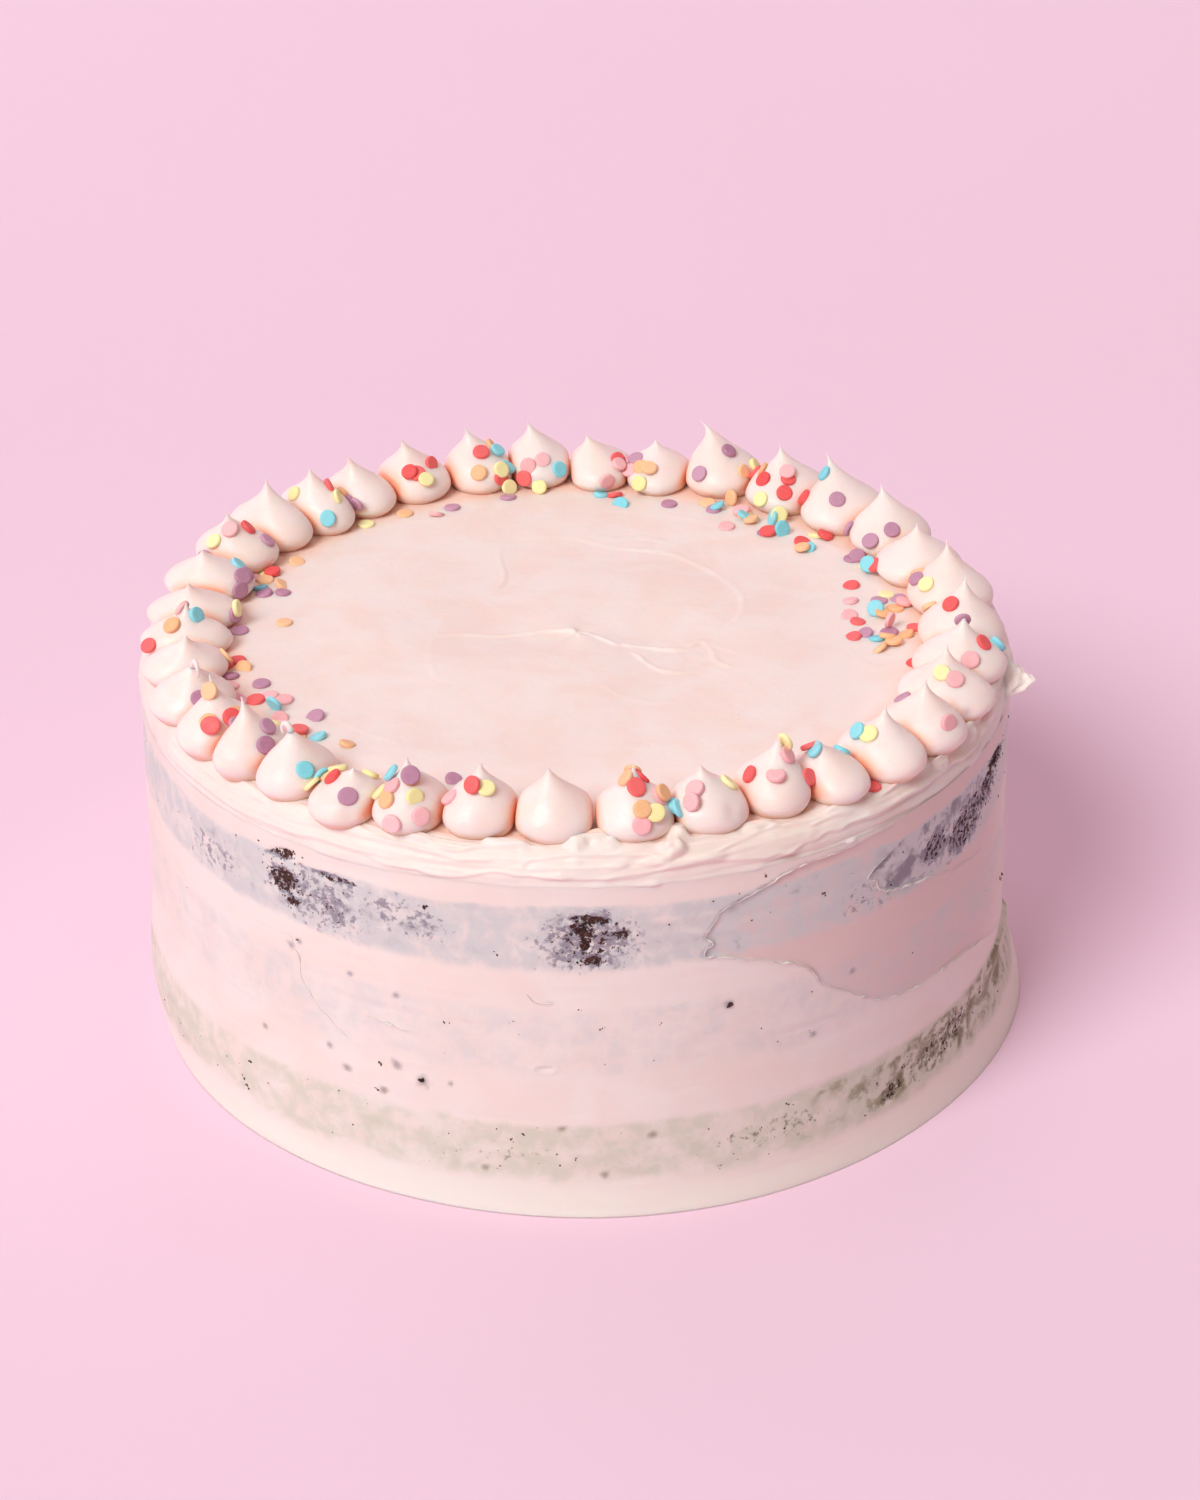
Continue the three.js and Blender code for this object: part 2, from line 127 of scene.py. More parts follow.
# Where the spatula wore the coat down to the crumb: angle, height, half width, half height, tilt, how bare.
WORN = [
    (-38.2, 82, 7, 2.2, 0.2, 0.72), (-38.6, 75.4, 6.5, 5, 0.3, 0.72), (-37.2, 70.8, 3.4, 2.4, 0, 0.66),
    (-30.5, 80.4, 10, 1.6, -0.05, 0.64), (-33.5, 74, 21, 12, -0.15, 0.54), (-21, 75, 17, 8, -0.2, 0.49),
    (1.8, 77.9, 7, 1.8, -0.1, 0.74), (0.6, 75.4, 4.6, 3, -0.3, 0.72), (0.9, 71.4, 2.6, 2.8, 0, 0.7),
    (1.9, 67.8, 3.2, 2.6, 0, 0.72), (5.2, 74.2, 4, 1.4, 0.1, 0.72), (1.5, 72.5, 17, 11, 0, 0.58),
    (50.5, 73, 9, 6, 0.35, 0.63), (59, 72, 18, 9, 0.2, 0.64), (70, 78.2, 11, 3.4, -0.1, 0.72),
    (66, 75, 9, 6, 0.2, 0.66), (-52, 72, 18, 9, 0.1, 0.48), (38, 70, 14, 8, 0, 0.45),
    (55, 18, 28, 7, 0.1, 0.57), (44, 14.5, 7, 4, 0.5, 0.62), (25, 17, 22, 6, 0, 0.45),
    (-10, 17, 30, 6, 0, 0.36), (-150, 74, 14, 7, 0.1, 0.56), (125, 72, 12, 8, -0.1, 0.55),
    (170, 18, 26, 6, 0, 0.5),
]
# Smudges of crumb under the coat: angle, height, half width.
SMUDGES = [
    (-25.2, 28.4, 1.3), (-23.2, 36.2, 1.5), (-19.7, 33.3, 1.8), (-30.5, 31.5, 1.2), (-36.6, 60.8, 1),
    (-38, 58.8, 1.2), (-22.7, 54.6, 1.1), (18.5, 53.1, 1.5), (30.3, 39.2, 0.9), (-33, 36, 1), (-16, 34, 0.8),
    (-2.2, 24.6, 1), (9, 22, 1.2), (-29, 57, 0.9), (36, 52, 1), (-44, 33, 1.1), (3, 12, 1.1), (-12, 12.5, 1),
    (150, 50, 1.4), (-140, 33, 1.3), (-110, 50, 1.2), (120, 30, 1.2), (178, 61, 1), (-165, 47, 1.3),
]
# Larger specks of crumb caught in the coat: angle, height, size.
SPECKS = [
    (18.5, 52.8, 1.1), (-20, 33.5, 1.1), (-25.5, 35.2, 0.8), (-26.5, 28, 0.8), (-36.8, 61, 0.6),
    (-16.2, 50, 0.5), (-8, 52, 0.4), (3, 50.5, 0.5), (10, 51, 0.4), (-47.5, 20.8, 0.8), (-48.5, 13, 0.9),
    (-49, 15, 0.6), (-7.2, 22.5, 0.8), (-8.4, 20.8, 0.6), (27, 22.6, 0.7), (17.3, 10.9, 0.6),
    (-0.4, 16.4, 0.6), (23, 18.5, 0.6), (41, 18, 0.8), (46, 18.6, 0.8), (51, 18.2, 0.8), (65.8, 19, 0.8),
    (43, 13, 1.2), (-18.4, 78.3, 0.8), (23, 83.8, 0.7), (31, 75, 0.6), (72.5, 65.5, 0.7), (77.5, 38.5, 1.2),
    (76, 40, 0.8), (-61.5, 74.5, 0.5), (25.5, 39.6, 0.4), (29.8, 39.8, 0.4), (-55.5, 71, 0.4),
]
# Where the dark layers show through the coat: lowest, highest, how soft the edge is.
BANDS = [(65.5, 81.2, 1.8), (38, 56, 3.5), (10, 25.4, 3)]
# Fine grains in those bands: lowest, highest, how many all round.
FINE_GRAINS = [(66, 81, 90), (38, 56, 22), (11, 25, 110)]

# Ribbons on the rim: points of angle and of how far over the rim they lie from the top of the wall, ridge,
# step down below.
RIBBONS = [
    ([(-62, 1.4), (-45.5, 1.6), (-38.5, 1.8), (-32.8, 2.5), (-28.9, 2.3), (-24.3, 1.6), (-19.6, 1.1),
      (-15, 1.2), (-9.4, 2.3), (-5.4, 2.1), (-0.3, 1.9), (5.5, 1.9), (11.5, 2.8), (17.7, 2.8), (24, 1.9),
      (29, 0.4)], 0.3, 0.5),
    ([(-6.6, 3), (-5.5, 5.2), (-1.5, 6.6), (2.5, 6.7), (6.5, 6.2), (10.1, 5.5)], 0.3, 0.6),
    ([(22, 0.6), (25.8, 1.4), (28.6, 2.8), (33.6, 3.2), (38.8, 3.2), (44.8, 3.5), (48.6, 3.1), (53.1, 3.3),
      (60, 2.6), (68, 3.4)], 0.5, 0.8),
    ([(-36, 5), (-31.3, 5.6), (-26.6, 5.8), (-22, 5.6), (-17.6, 4.8), (-13.5, 4.3), (-9.5, 5.3)],
     0.35, 0.5),
    ([(-24, 8.2), (-20.2, 7.8), (-15.7, 6), (-11.7, 7.5), (-7.7, 9), (-3.6, 9.5)], 0.5, 0.6),
    ([(16, 4.5), (20, 6.5), (24.9, 7.8), (27.6, 7.1), (30.2, 6), (36, 5.5)], 0.35, 0.5),
    ([(40, 6), (47, 6.8), (54, 6), (61, 6.6), (70, 5.8)], 0.5, 0.6),
]
# Lumps on the rim: angle, how far over the rim, half length, half width, height.
LUMPS = [
    (1.5, 11, 8.5, 4.4, 2.2), (1.7, 9.3, 1.1, 0.9, -1.6), (12.9, 10.6, 3.6, 4.2, 2.6),
    (11.8, 6.8, 2.6, 2.8, 1.8), (9.6, 4.6, 4.6, 1.4, 0.9), (15.2, 3.9, 7, 1.2, 0.8),
    (23.5, 9.4, 6, 2.2, 0.9), (-9, 9.8, 6, 2.4, 1.2), (-20.5, 8.3, 7, 1.8, 0.9), (-29, 7, 7, 1.7, 0.7),
    (-43, 6, 6, 2, 0.6), (36, 8, 7, 2, 0.8), (45, 7, 4, 2, 0.9), (35, -0.6, 1.6, 1, 0.8),
    (53, 5.5, 4.5, 2, 1), (61, 6.2, 5, 2.6, 1.2), (69, 5, 6, 3, 1.4), (76, 7.4, 8, 4, 1.8),
    (84, 5, 6, 3, 1.3), (-2.5, 2.2, 5, 0.9, 0.5), (4.8, 4.1, 2.6, 0.9, 0.5),
]


# ---- Numbers ----
def wrapped(angle):
    return np.arctan2(np.sin(angle), np.cos(angle))


def on_circle(angle, radius):
    return radius * np.sin(angle), -radius * np.cos(angle)


def angle_of(x, y):
    return np.arctan2(x, -y)


def wrapped_degrees(degrees):
    return (degrees + 180) % 360 - 180


def round_wall(degrees, start=0):
    """How far round the wall a place is from the one at a start, in millimetres."""
    return np.radians(wrapped_degrees(degrees - start)) * COAT_RADIUS


def outline(points):
    """Points of angle and height as places on the wall laid out flat."""
    return [(math.radians(angle) * COAT_RADIUS, height) for angle, height in points]


def ramp(value, low, high):
    """0 below low, 1 above high, and smooth between."""
    t = np.clip((value - low) / (high - low), 0, 1)
    return t * t * (3 - 2 * t)


def noise(u, v, seed, period=64):
    """Smooth noise from -1 to 1 with features about 1 wide, which repeats along u after a period."""
    values = np.random.default_rng(seed).uniform(-1, 1, (period, 64))
    i, j = np.floor(u).astype(int), np.floor(v).astype(int)
    s, t = ramp(u - i, 0, 1), ramp(v - j, 0, 1)
    i, right, j, above = i % period, (i + 1) % period, j % 64, (j + 1) % 64
    near = values[i, j] * (1 - s) + values[right, j] * s
    far = values[i, above] * (1 - s) + values[right, above] * s
    return near * (1 - t) + far * t


def random_stream(seed):
    """The same repeatable stream of numbers from 0 to 1 that placed the solids."""

    def draw():
        nonlocal seed
        seed = (seed * 1664525 + 1013904223) % 2**32
        return seed / 2**32

    return draw


def bell(random):
    return (random() + random() + random() + random() - 2) * 1.7


def curve_through(points, steps=10):
    """Points along a smooth curve through the given ones."""
    p = np.array([points[0], *points, points[-1]], float)
    t = np.linspace(0, 1, steps, endpoint=False)[:, None]
    spans = [
        0.5 * (2 * b + (c - a) * t + (2 * a - 5 * b + 4 * c - d) * t**2 + (3 * b - a - 3 * c + d) * t**3)
        for a, b, c, d in zip(p, p[1:], p[2:], p[3:])
    ]
    return np.vstack([*spans, p[-1:]])


def beside_curve(u, v, points):
    """For each u, v: how far it is to the left of a curve through points, negative to the right, and how far
    along the curve the nearest spot is, from 0 to 1."""
    line = curve_through(points)
    best = np.full(u.shape, 1e9)
    side, along = np.zeros(u.shape), np.zeros(u.shape)
    for i, ((au, av), (bu, bv)) in enumerate(zip(line, line[1:])):
        du, dv = bu - au, bv - av
        t = np.clip(((u - au) * du + (v - av) * dv) / (du * du + dv * dv), 0, 1)
        away_u, away_v = u - au - t * du, v - av - t * dv
        distance = np.hypot(away_u, away_v)
        closer = distance < best
        best = np.where(closer, distance, best)
        side = np.where(closer, np.sign(du * away_v - dv * away_u), side)
        along = np.where(closer, (i + t) / (len(line) - 1), along)
    return side * best, along


def knife_edge(u, v, points, ridge, step, width=0.5, fade=7):
    """Relief where a palette knife's edge stopped: a thin ridge along a curve, and a step down on its right
    that fades away."""
    side, along = beside_curve(u, v, points)
    strength = ramp(along, 0, 0.08) * (1 - ramp(along, 0.92, 1))
    strength = strength * (0.65 + 0.35 * noise(along * 17, along * 0, 5))
    crest = ridge * np.exp(-((side / width) ** 2))
    drop = step * ramp(-side, 0, 1.2 * width) * np.exp(-np.maximum(-side, 0) / fade)
    return strength * (crest - drop)


def bump(angle, degrees, width):
    """1 at an angle given in degrees, and less the further from it, over some degrees."""
    return np.exp(-((wrapped(angle - math.radians(degrees)) / math.radians(width)) ** 2))


# ---- Meshes ----
def placed(name, data):
    made = bpy.data.objects.new(name, data)
    scene.collection.objects.link(made)
    return made


def mesh_piece(name, points, faces, material, smooth=True, **attributes):
    """A piece whose attributes are 0 at the points past the end of their values."""
    mesh = bpy.data.meshes.new(name)
    mesh.from_pydata((np.asarray(points) * MM).tolist(), [], faces)
    for label, values in attributes.items():
        data = mesh.attributes.new(label, "FLOAT", "POINT").data
        values = np.pad(np.ravel(values), (0, len(points) - np.size(values)))
        data.foreach_set("value", values.astype(np.float32))
    mesh.polygons.foreach_set("use_smooth", [smooth] * len(mesh.polygons))
    mesh.materials.append(material)
    return placed(name, mesh)


def show_piece(piece, slot, *nodes):
    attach(piece, "root")
    if nodes:
        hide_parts(*nodes)


def in_rows(x, y, z):
    """The points of a grid as rows of x, y, z."""
    return np.stack([x, y, z], -1).reshape(-1, 3)


def grid_faces(rows, columns, closed=True):
    """Quads over a grid of points, whose last column meets its first where it is closed."""
    j, i = np.meshgrid(np.arange(rows - 1), np.arange(columns if closed else columns - 1), indexing="ij")
    after = (i + 1) % columns
    corners = [j * columns + i, j * columns + after, (j + 1) * columns + after, (j + 1) * columns + i]
    return np.stack(corners, -1).reshape(-1, 4).tolist()


def tube_faces(rows, columns):
    """Quads over a closed grid of points, and a cap at either end."""
    last = (rows - 1) * columns
    return grid_faces(rows, columns) + [list(range(columns))[::-1], [last + i for i in range(columns)]]


def turns(columns):
    """The angles of the corners of a ring."""
    return np.arange(columns) * 2 * math.pi / columns


def joined(parts):
    """Vertices and faces of many small meshes as one."""
    points, faces, start = [], [], 0
    for part_points, part_faces in parts:
        points.append(part_points)
        faces += [[start + k for k in face] for face in part_faces]
        start += len(part_points)
    return np.vstack(points), faces


# ---- Materials ----
def linear(colour):
    """A colour of 0 to 255, as it looks on a screen, for a shader."""
    shares = np.array(colour) / 255
    return (*np.where(shares <= 0.04045, shares / 12.92, ((shares + 0.055) / 1.055) ** 2.4), 1)


class Look:
    """A node material round one Principled shader. Its textures are laid in the object's own coordinates."""

    def __init__(self, name, **shader):
        self.material = bpy.data.materials.new(name)
        self.material.use_nodes = True
        self.tree = self.material.node_tree
        self.shader = self.tree.nodes["Principled BSDF"]
        self.place = self.tree.nodes.new("ShaderNodeTexCoord").outputs["Object"]
        self.set(**shader)

    def give(self, socket, value):
        if isinstance(value, bpy.types.NodeSocket):
            self.tree.links.new(value, socket)
        else:
            socket.default_value = value

    def node(self, kind, inputs, **settings):
        made = self.tree.nodes.new(kind)
        for key, value in settings.items():
            setattr(made, key, value)
        for key, value in inputs.items():
            self.give(made.inputs[key], value)
        return made

    def stretched(self, x, y, z):
        return self.node("ShaderNodeMapping", {"Vector": self.place, "Scale": (x, y, z)}).outputs[0]

    def noise(self, size, detail=3, place=None, rough=0.5, warp=0):
        """Noise from 0 to 1 whose features are about size millimetres wide."""
        inputs = {"Vector": place or self.place, "Scale": 1 / (size * MM), "Detail": detail}
        inputs |= {"Roughness": rough, "Distortion": warp}
        return self.node("ShaderNodeTexNoise", inputs).outputs["Fac"]

    def attribute(self, name):
        return self.node("ShaderNodeAttribute", {}, attribute_name=name).outputs["Fac"]

    def math(self, operation, a, b=0, clamp=False):
        return self.node("ShaderNodeMath", {0: a, 1: b}, operation=operation, use_clamp=clamp).outputs[0]

    def fade(self, value, low, high, start=0, end=1):
        inputs = {"Value": value, "From Min": low, "From Max": high, "To Min": start, "To Max": end}
        return self.node("ShaderNodeMapRange", inputs, interpolation_type="SMOOTHSTEP").outputs[0]

    def mix(self, share, a, b):
        """Two colours mixed, each of them a socket or three numbers of 0 to 255."""
        made = self.node("ShaderNodeMix", {}, data_type="RGBA")
        sockets = {s.name: s for s in made.inputs if s.enabled}
        for key, value in ("Factor", share), ("A", a), ("B", b):
            self.give(sockets[key], linear(value) if isinstance(value, tuple) else value)
        return next(s for s in made.outputs if s.enabled)

    def bump(self, height, depth, after=None):
        """Surface detail depth millimetres deep."""
        inputs = {"Height": height, "Distance": depth * MM, "Strength": 1}
        if after:
            inputs["Normal"] = after
        return self.node("ShaderNodeBump", inputs).outputs[0]

    def set(self, **sockets):
        for socket, value in sockets.items():
            self.give(self.shader.inputs[socket.replace("_", " ")], value)
        return self.material


CREAM_SCATTER = {"Subsurface_Radius": (1, 0.4, 0.28), "Subsurface_Scale": 4 * MM}
COAT_LIGHT = (245, 232, 226)
COAT_DEEP = (244, 226, 218)
# Painted shade: a peach put into the colour of cream in its creases, and a deeper one where kisses press on
# each other.
CREASE_SHADE = (252, 190, 158)  # where cream throws light on cream
CONTACT_SHADE = (255, 158, 120)  # where kisses press on each other


def cream(name, light, deep, weight=0.5, gloss=0):
    """Whipped buttercream, soft and satin with faint drag lines and pores. Painted peach shade in its creases.
    """
    look = Look(name, Subsurface_Weight=weight, IOR=1.42, **CREAM_SCATTER)
    colour = look.mix(look.fade(look.noise(14, warp=0.6), 0.35, 0.7), light, deep)
    # Painted shade: the colour turns peach in the creases, and deeper peach where kisses press on each other.
    crease = look.attribute("crease")
    colour = look.mix(crease, colour, CREASE_SHADE)
    colour = look.mix(look.fade(crease, 0.55, 0.8, 0, 0.7), colour, CONTACT_SHADE)
    pores = look.fade(look.noise(1.1, detail=2), 0.22, 0.3)
    drag = look.noise(4, detail=3, place=look.stretched(1, 1, 2.2), warp=0.8)
    surface = look.bump(pores, 0.05, look.bump(drag, 0.14))
    roughness = look.fade(look.noise(5), 0.3, 0.7, 0.42 - gloss, 0.56 - gloss)
    return look.set(Base_Color=colour, Roughness=roughness, Normal=surface)


def chocolate(name):
    """Open dark crumb."""
    look = Look(name)
    grain = look.noise(1.6, detail=6, rough=0.65)
    colour = look.mix(look.fade(grain, 0.35, 0.7), (44, 22, 18), (112, 66, 50))
    surface = look.bump(look.noise(0.7, detail=5, rough=0.7), 0.5, look.bump(grain, 0.9))
    return look.set(Base_Color=colour, Roughness=look.fade(grain, 0.3, 0.7, 0.95, 0.75), Normal=surface)


def coat_look(name):
    """Buttercream spread so thin that the crumb greys it, and bare crumb where the spatula wore it away."""
    look = Look(name, IOR=1.42, **CREAM_SCATTER)
    show, worn, low = look.attribute("show"), look.attribute("worn"), look.attribute("low")
    plain = look.mix(look.fade(look.noise(22, warp=0.8), 0.35, 0.7), COAT_LIGHT, COAT_DEEP)
    # Painted reflected light: the foot of the side is lighter and warmer, as if lit by warm light from below.
    plain = look.mix(look.attribute("foot"), plain, (250, 242, 230))
    # Where the spatula scraped the coat thinner on the right it is greyer: partly the coat's own colour,
    # partly painted shade for that side.
    plain = look.mix(look.attribute("scraped_and_shaded"), plain, (232, 208, 203))
    # Painted shade: peach where the coat lies under the kisses.
    plain = look.mix(look.attribute("crease"), plain, CREASE_SHADE)
    streaks = look.noise(7, detail=3, place=look.stretched(0.35, 0.35, 1.6))
    blotches = look.noise(5, detail=5, rough=0.6, warp=0.4)
    seen = look.math("MULTIPLY", show, look.fade(blotches, 0.32, 0.68, 0.55, 1.45))
    seen = look.math("MULTIPLY", seen, look.fade(streaks, 0.3, 0.7, 0.9, 1.1), clamp=True)
    # Painted reflection: low down, the grey and the dark of the crumb that shows through are tinted yellow, as
    # by light thrown up from below.
    veil = look.mix(low, (213, 212, 212), (217, 214, 198))
    deep = look.mix(low, (146, 141, 149), (138, 132, 96))
    thin = look.mix(look.fade(seen, 0, 0.5), plain, veil)
    thin = look.mix(look.fade(seen, 0.5, 1), thin, deep)
    spots = look.noise(1.7, detail=4, rough=0.6, warp=0.2)
    spots = look.fade(look.math("ADD", spots, look.fade(worn, 0, 1, -0.3, 0.28)), 0.45, 0.62)
    smudge = look.math("MULTIPLY", spots, look.fade(show, 0.05, 0.25, 0, 0.85))
    # The dark line along the torn edge is partly painted shadow.
    smudge = look.math("MAXIMUM", smudge, look.math("MULTIPLY", look.attribute("smudges_and_edge_shadow"), 0.7))
    # Low down the smudges take the same painted yellow reflection.
    thin = look.mix(smudge, thin, look.mix(low, (138, 131, 146), (124, 119, 92)))
    grain = look.noise(1.1, detail=5, rough=0.65, warp=0.2)
    bare = look.fade(look.math("ADD", grain, look.fade(worn, 0, 1, -0.36, 0.3)), 0.585, 0.625)
    fine = look.noise(0.9, detail=4, rough=0.7)
    crumb = look.mix(look.fade(fine, 0.38, 0.66), (46, 26, 26), (104, 66, 60))
    colour = look.mix(bare, thin, crumb)
    cover = look.math("SUBTRACT", 1, bare)
    surface = look.bump(look.noise(1, detail=3), 0.04, look.bump(streaks, 0.1))
    surface = look.bump(look.math("MULTIPLY", fine, bare), 0.6, surface)
    surface = look.bump(cover, 0.3, surface)
    roughness = look.fade(bare, 0, 1, 0.5, 0.9)
    scatter = look.math("MULTIPLY", cover, 0.3)
    return look.set(Base_Color=colour, Roughness=roughness, Normal=surface, Subsurface_Weight=scatter)


def sugar(name, colour):
    """Pressed sugar, matte and faintly mottled, a little different from piece to piece."""
    look = Look(name, Subsurface_Weight=0.15, Subsurface_Radius=(1, 0.8, 0.7), Subsurface_Scale=0.8 * MM)
    pale = tuple(c + (255 - c) * 0.18 for c in colour)
    dark = tuple(c * 0.96 for c in colour)
    own = look.mix(look.attribute("shade"), dark, pale)
    mottled = look.mix(look.fade(look.noise(0.7, detail=4), 0.42, 0.72, 0, 0.4), own, pale)
    surface = look.bump(look.noise(0.35, detail=3), 0.05)
    roughness = look.fade(look.noise(0.9), 0.3, 0.7, 0.5, 0.7)
    return look.set(Base_Color=mottled, Roughness=roughness, Normal=surface)


# ---- Coat ----
def coat_bulge(angle, z):
    oval = -SPREAD * np.cos(2 * angle) * (1 - z / TOP)
    wobble = WOBBLE * (np.sin(3 * angle + 0.7) + 0.7 * np.sin(5 * angle + z / 17))
    shift = SHIFT * np.sin(angle) * np.exp(-z / 10)
    flare = FLARE * bump(angle, FLARE_ANGLE, 32) * (1 - np.clip(z / FLARE_HEIGHT, 0, 1) ** 1.6)
    lip = LIP * bump(angle, LIP_ANGLE, 26) * np.exp(-(((z - LIP_HEIGHT) / 15) ** 2))
    return oval + wobble + shift + flare + lip


def top_level(x, y):
    distance = np.hypot(x, y)
    fade = np.clip((SWIRL_RADIUS - distance) / 15, 0, 1)
    swirl = SWIRL_DEPTH * fade * np.sin(2 * angle_of(x, y) + distance / 9)
    over = np.clip((distance - (COAT_RADIUS - RIM_WIDTH)) / RIM_WIDTH, 0, 0.999)
    return TOP + swirl - RIM_DROP * (1 - np.sqrt(1 - over * over))


# Edges that the spatula left on the side: points of angle and height, ridge, step down on the right.
SIDE_EDGES = [
    ([(79, 25), (68.3, 32.3), (60.2, 36.6), (53.2, 38), (46.6, 38.7), (40.8, 41.1), (35.7, 46.6),
      (31.2, 51.8), (30.2, 54.8), (28, 58.7), (23.8, 61.7), (18.5, 65), (15.3, 66.8), (16.3, 69.5),
      (15.4, 71.5), (16.4, 74), (17.4, 76.9), (19.7, 79), (23, 81.3), (27.5, 83.9), (35, 84.7), (44, 86)],
     0.22, 0.45),
    ([(63.7, 59.9), (57.2, 62.1), (48.7, 66.2), (43.5, 68), (40.1, 70), (39.3, 72.5), (37.9, 75.2),
      (41, 78)], 0.15, 0.25),
    ([(-38, 62), (-36.7, 55), (-36.5, 51), (-34, 45), (-30, 40)], 0.12, 0.08),
    ([(-27, 47.5), (-24, 46.5), (-21, 46)], 0.12, 0.06),
    ([(-6, 59.5), (-5.2, 57.5), (-3, 57)], 0.15, 0.1),
    ([(120, 78), (112, 66), (103, 61), (92, 58)], 0.25, 0.25),
    ([(-160, 30), (-140, 42), (-118, 40), (-104, 52)], 0.25, 0.25),
]
DENT = (-4.2, 40.2, 2.4, 1)  # where the spatula's tip touched: angle, height, half width, half height


def wear(degrees, z):
    """How worn the coat is, from 0 to 1, by the places in the list of worn ones."""
    worn = np.zeros(z.shape)
    for angle, height, half_width, half_height, tilt, how_bare in WORN:
        across = round_wall(degrees, angle)
        up = z - height
        u = (across * math.cos(tilt) + up * math.sin(tilt)) / half_width
        v = (up * math.cos(tilt) - across * math.sin(tilt)) / half_height
        worn = np.maximum(worn, how_bare * ramp(1 - np.hypot(u, v), -0.5, 0.75))
    return worn


def smudges_and_edge_shadow(degrees, z):
    """Soft dark spots, and a dark line along the torn part of the coat's longest edge, partly crumb in the
    tear and partly painted shadow, from 0 to 1.
    """
    dark = np.zeros(z.shape)
    for angle, height, half_width in SMUDGES:
        across = round_wall(degrees, angle)
        away = np.hypot(across, z - height) * (1 + 0.35 * noise(across / 1.1 + 32, z / 1.1, 26))
        dark = np.maximum(dark, 1 - ramp(away, 0.15 * half_width, 1.25 * half_width))
    # A dark line along the torn part of the longest edge: partly crumb in the tear, partly painted shadow of
    # the edge.
    across = round_wall(degrees)
    side, along = beside_curve(across, z, outline(SIDE_EDGES[0][0]))
    torn = ramp(along, 0.52, 0.6) * (1 - ramp(along, 0.86, 0.96))
    torn = torn * (0.6 + 0.5 * noise(across / 1.1, z / 1.1, 27, 580))
    return np.maximum(dark, 0.9 * torn * np.exp(-(((side - 0.3) / 0.42) ** 2)))


def thinned(degrees, z):
    """Where the coat is thinner, inside the first and the second of the side's edges, from 0 to 1."""
    across = round_wall(degrees)
    inside = []
    for points, _, _ in SIDE_EDGES[:2]:
        side, along = beside_curve(across, z, outline(points))
        on_the_right = (across > 0) * (1 - ramp(across, 145, 165))
        inside.append(ramp(-side, -0.3, 0.5) * ramp(along, 0, 0.1) * on_the_right)
    return inside


def showing(degrees, z):
    """How much of the dark layers the coat lets through, from 0 to 1."""
    level = z + (0.7 * noise(degrees / 9, z / 30, 21, 40) + 0.4 * noise(degrees / 3, z / 12, 22, 120))
    patchy = noise(degrees / 4.5, z / 6, 23, 80) * 0.6 + noise(degrees / 1.8, z / 2.6, 24, 200) * 0.4
    turned = wrapped_degrees(degrees)
    front = 1 - ramp(np.abs(turned), 84, 100)
    scraped_and_shaded, worn = thinned(degrees, z)
    near_left = np.exp(-(((turned + 33) / 15) ** 2))
    near_front = np.exp(-(((turned - 0.5) / 7) ** 2))
    upper = 0.34 + 0.09 * scraped_and_shaded + 0.3 * worn + 0.16 * near_left + 0.16 * near_front + 0.08 * (1 - front)
    middle = 0.15 + 0.04 * scraped_and_shaded
    lower = 0.31 + 0.33 * ramp(turned, 14, 50) * front + 0.1 * (1 - front) + 0.08 * ramp(-turned, 50, 70)
    seen = 0
    for (low, high, soft), strength, uneven in zip(BANDS, (upper, middle, lower), (0.14, 0.07, 0.14)):
        band = ramp(level, low - soft, low + soft) * (1 - ramp(level, high - soft / 2, high + soft / 2))
        seen = seen + band * (strength + uneven * patchy)
    return np.clip(seen, 0, 1)


def side_relief(degrees, z):
    """How far the side stands out from its even shape."""
    across = round_wall(degrees)
    relief = 0.07 * noise(degrees / 14.4, z / 2.2, 31, 25) + 0.04 * noise(degrees / 7.2, z / 1.1, 32, 50)
    for points, ridge, step in SIDE_EDGES:
        relief += knife_edge(across, z, outline(points), ridge, step, width=0.4)
    angle, height, half_width, half_height = DENT
    dent = np.hypot((across - math.radians(angle) * COAT_RADIUS) / half_width, (z - height) / half_height)
    relief += 0.25 * np.exp(-(((dent - 1) / 0.25) ** 2)) - 0.25 * (1 - ramp(dent, 0.6, 1))
    crumbly = 0.5 * noise(degrees / 0.9, z / 1.6, 35, 400)
    relief += ramp(wear(degrees, z), 0.5, 0.8) * (crumbly - 0.8)
    # A tongue of the coat stands proud low on the right, with a sharp upper edge.
    turned = wrapped_degrees(degrees)
    edge = 26.2 - 0.35 * np.abs(turned - 78)
    tongue = ramp(turned, 66, 78) * (1 - ramp(turned, 84, 88))
    return relief + 1.2 * tongue * ramp(z, 15, 24) * (1 - ramp(z, edge - 0.8, edge + 0.2))


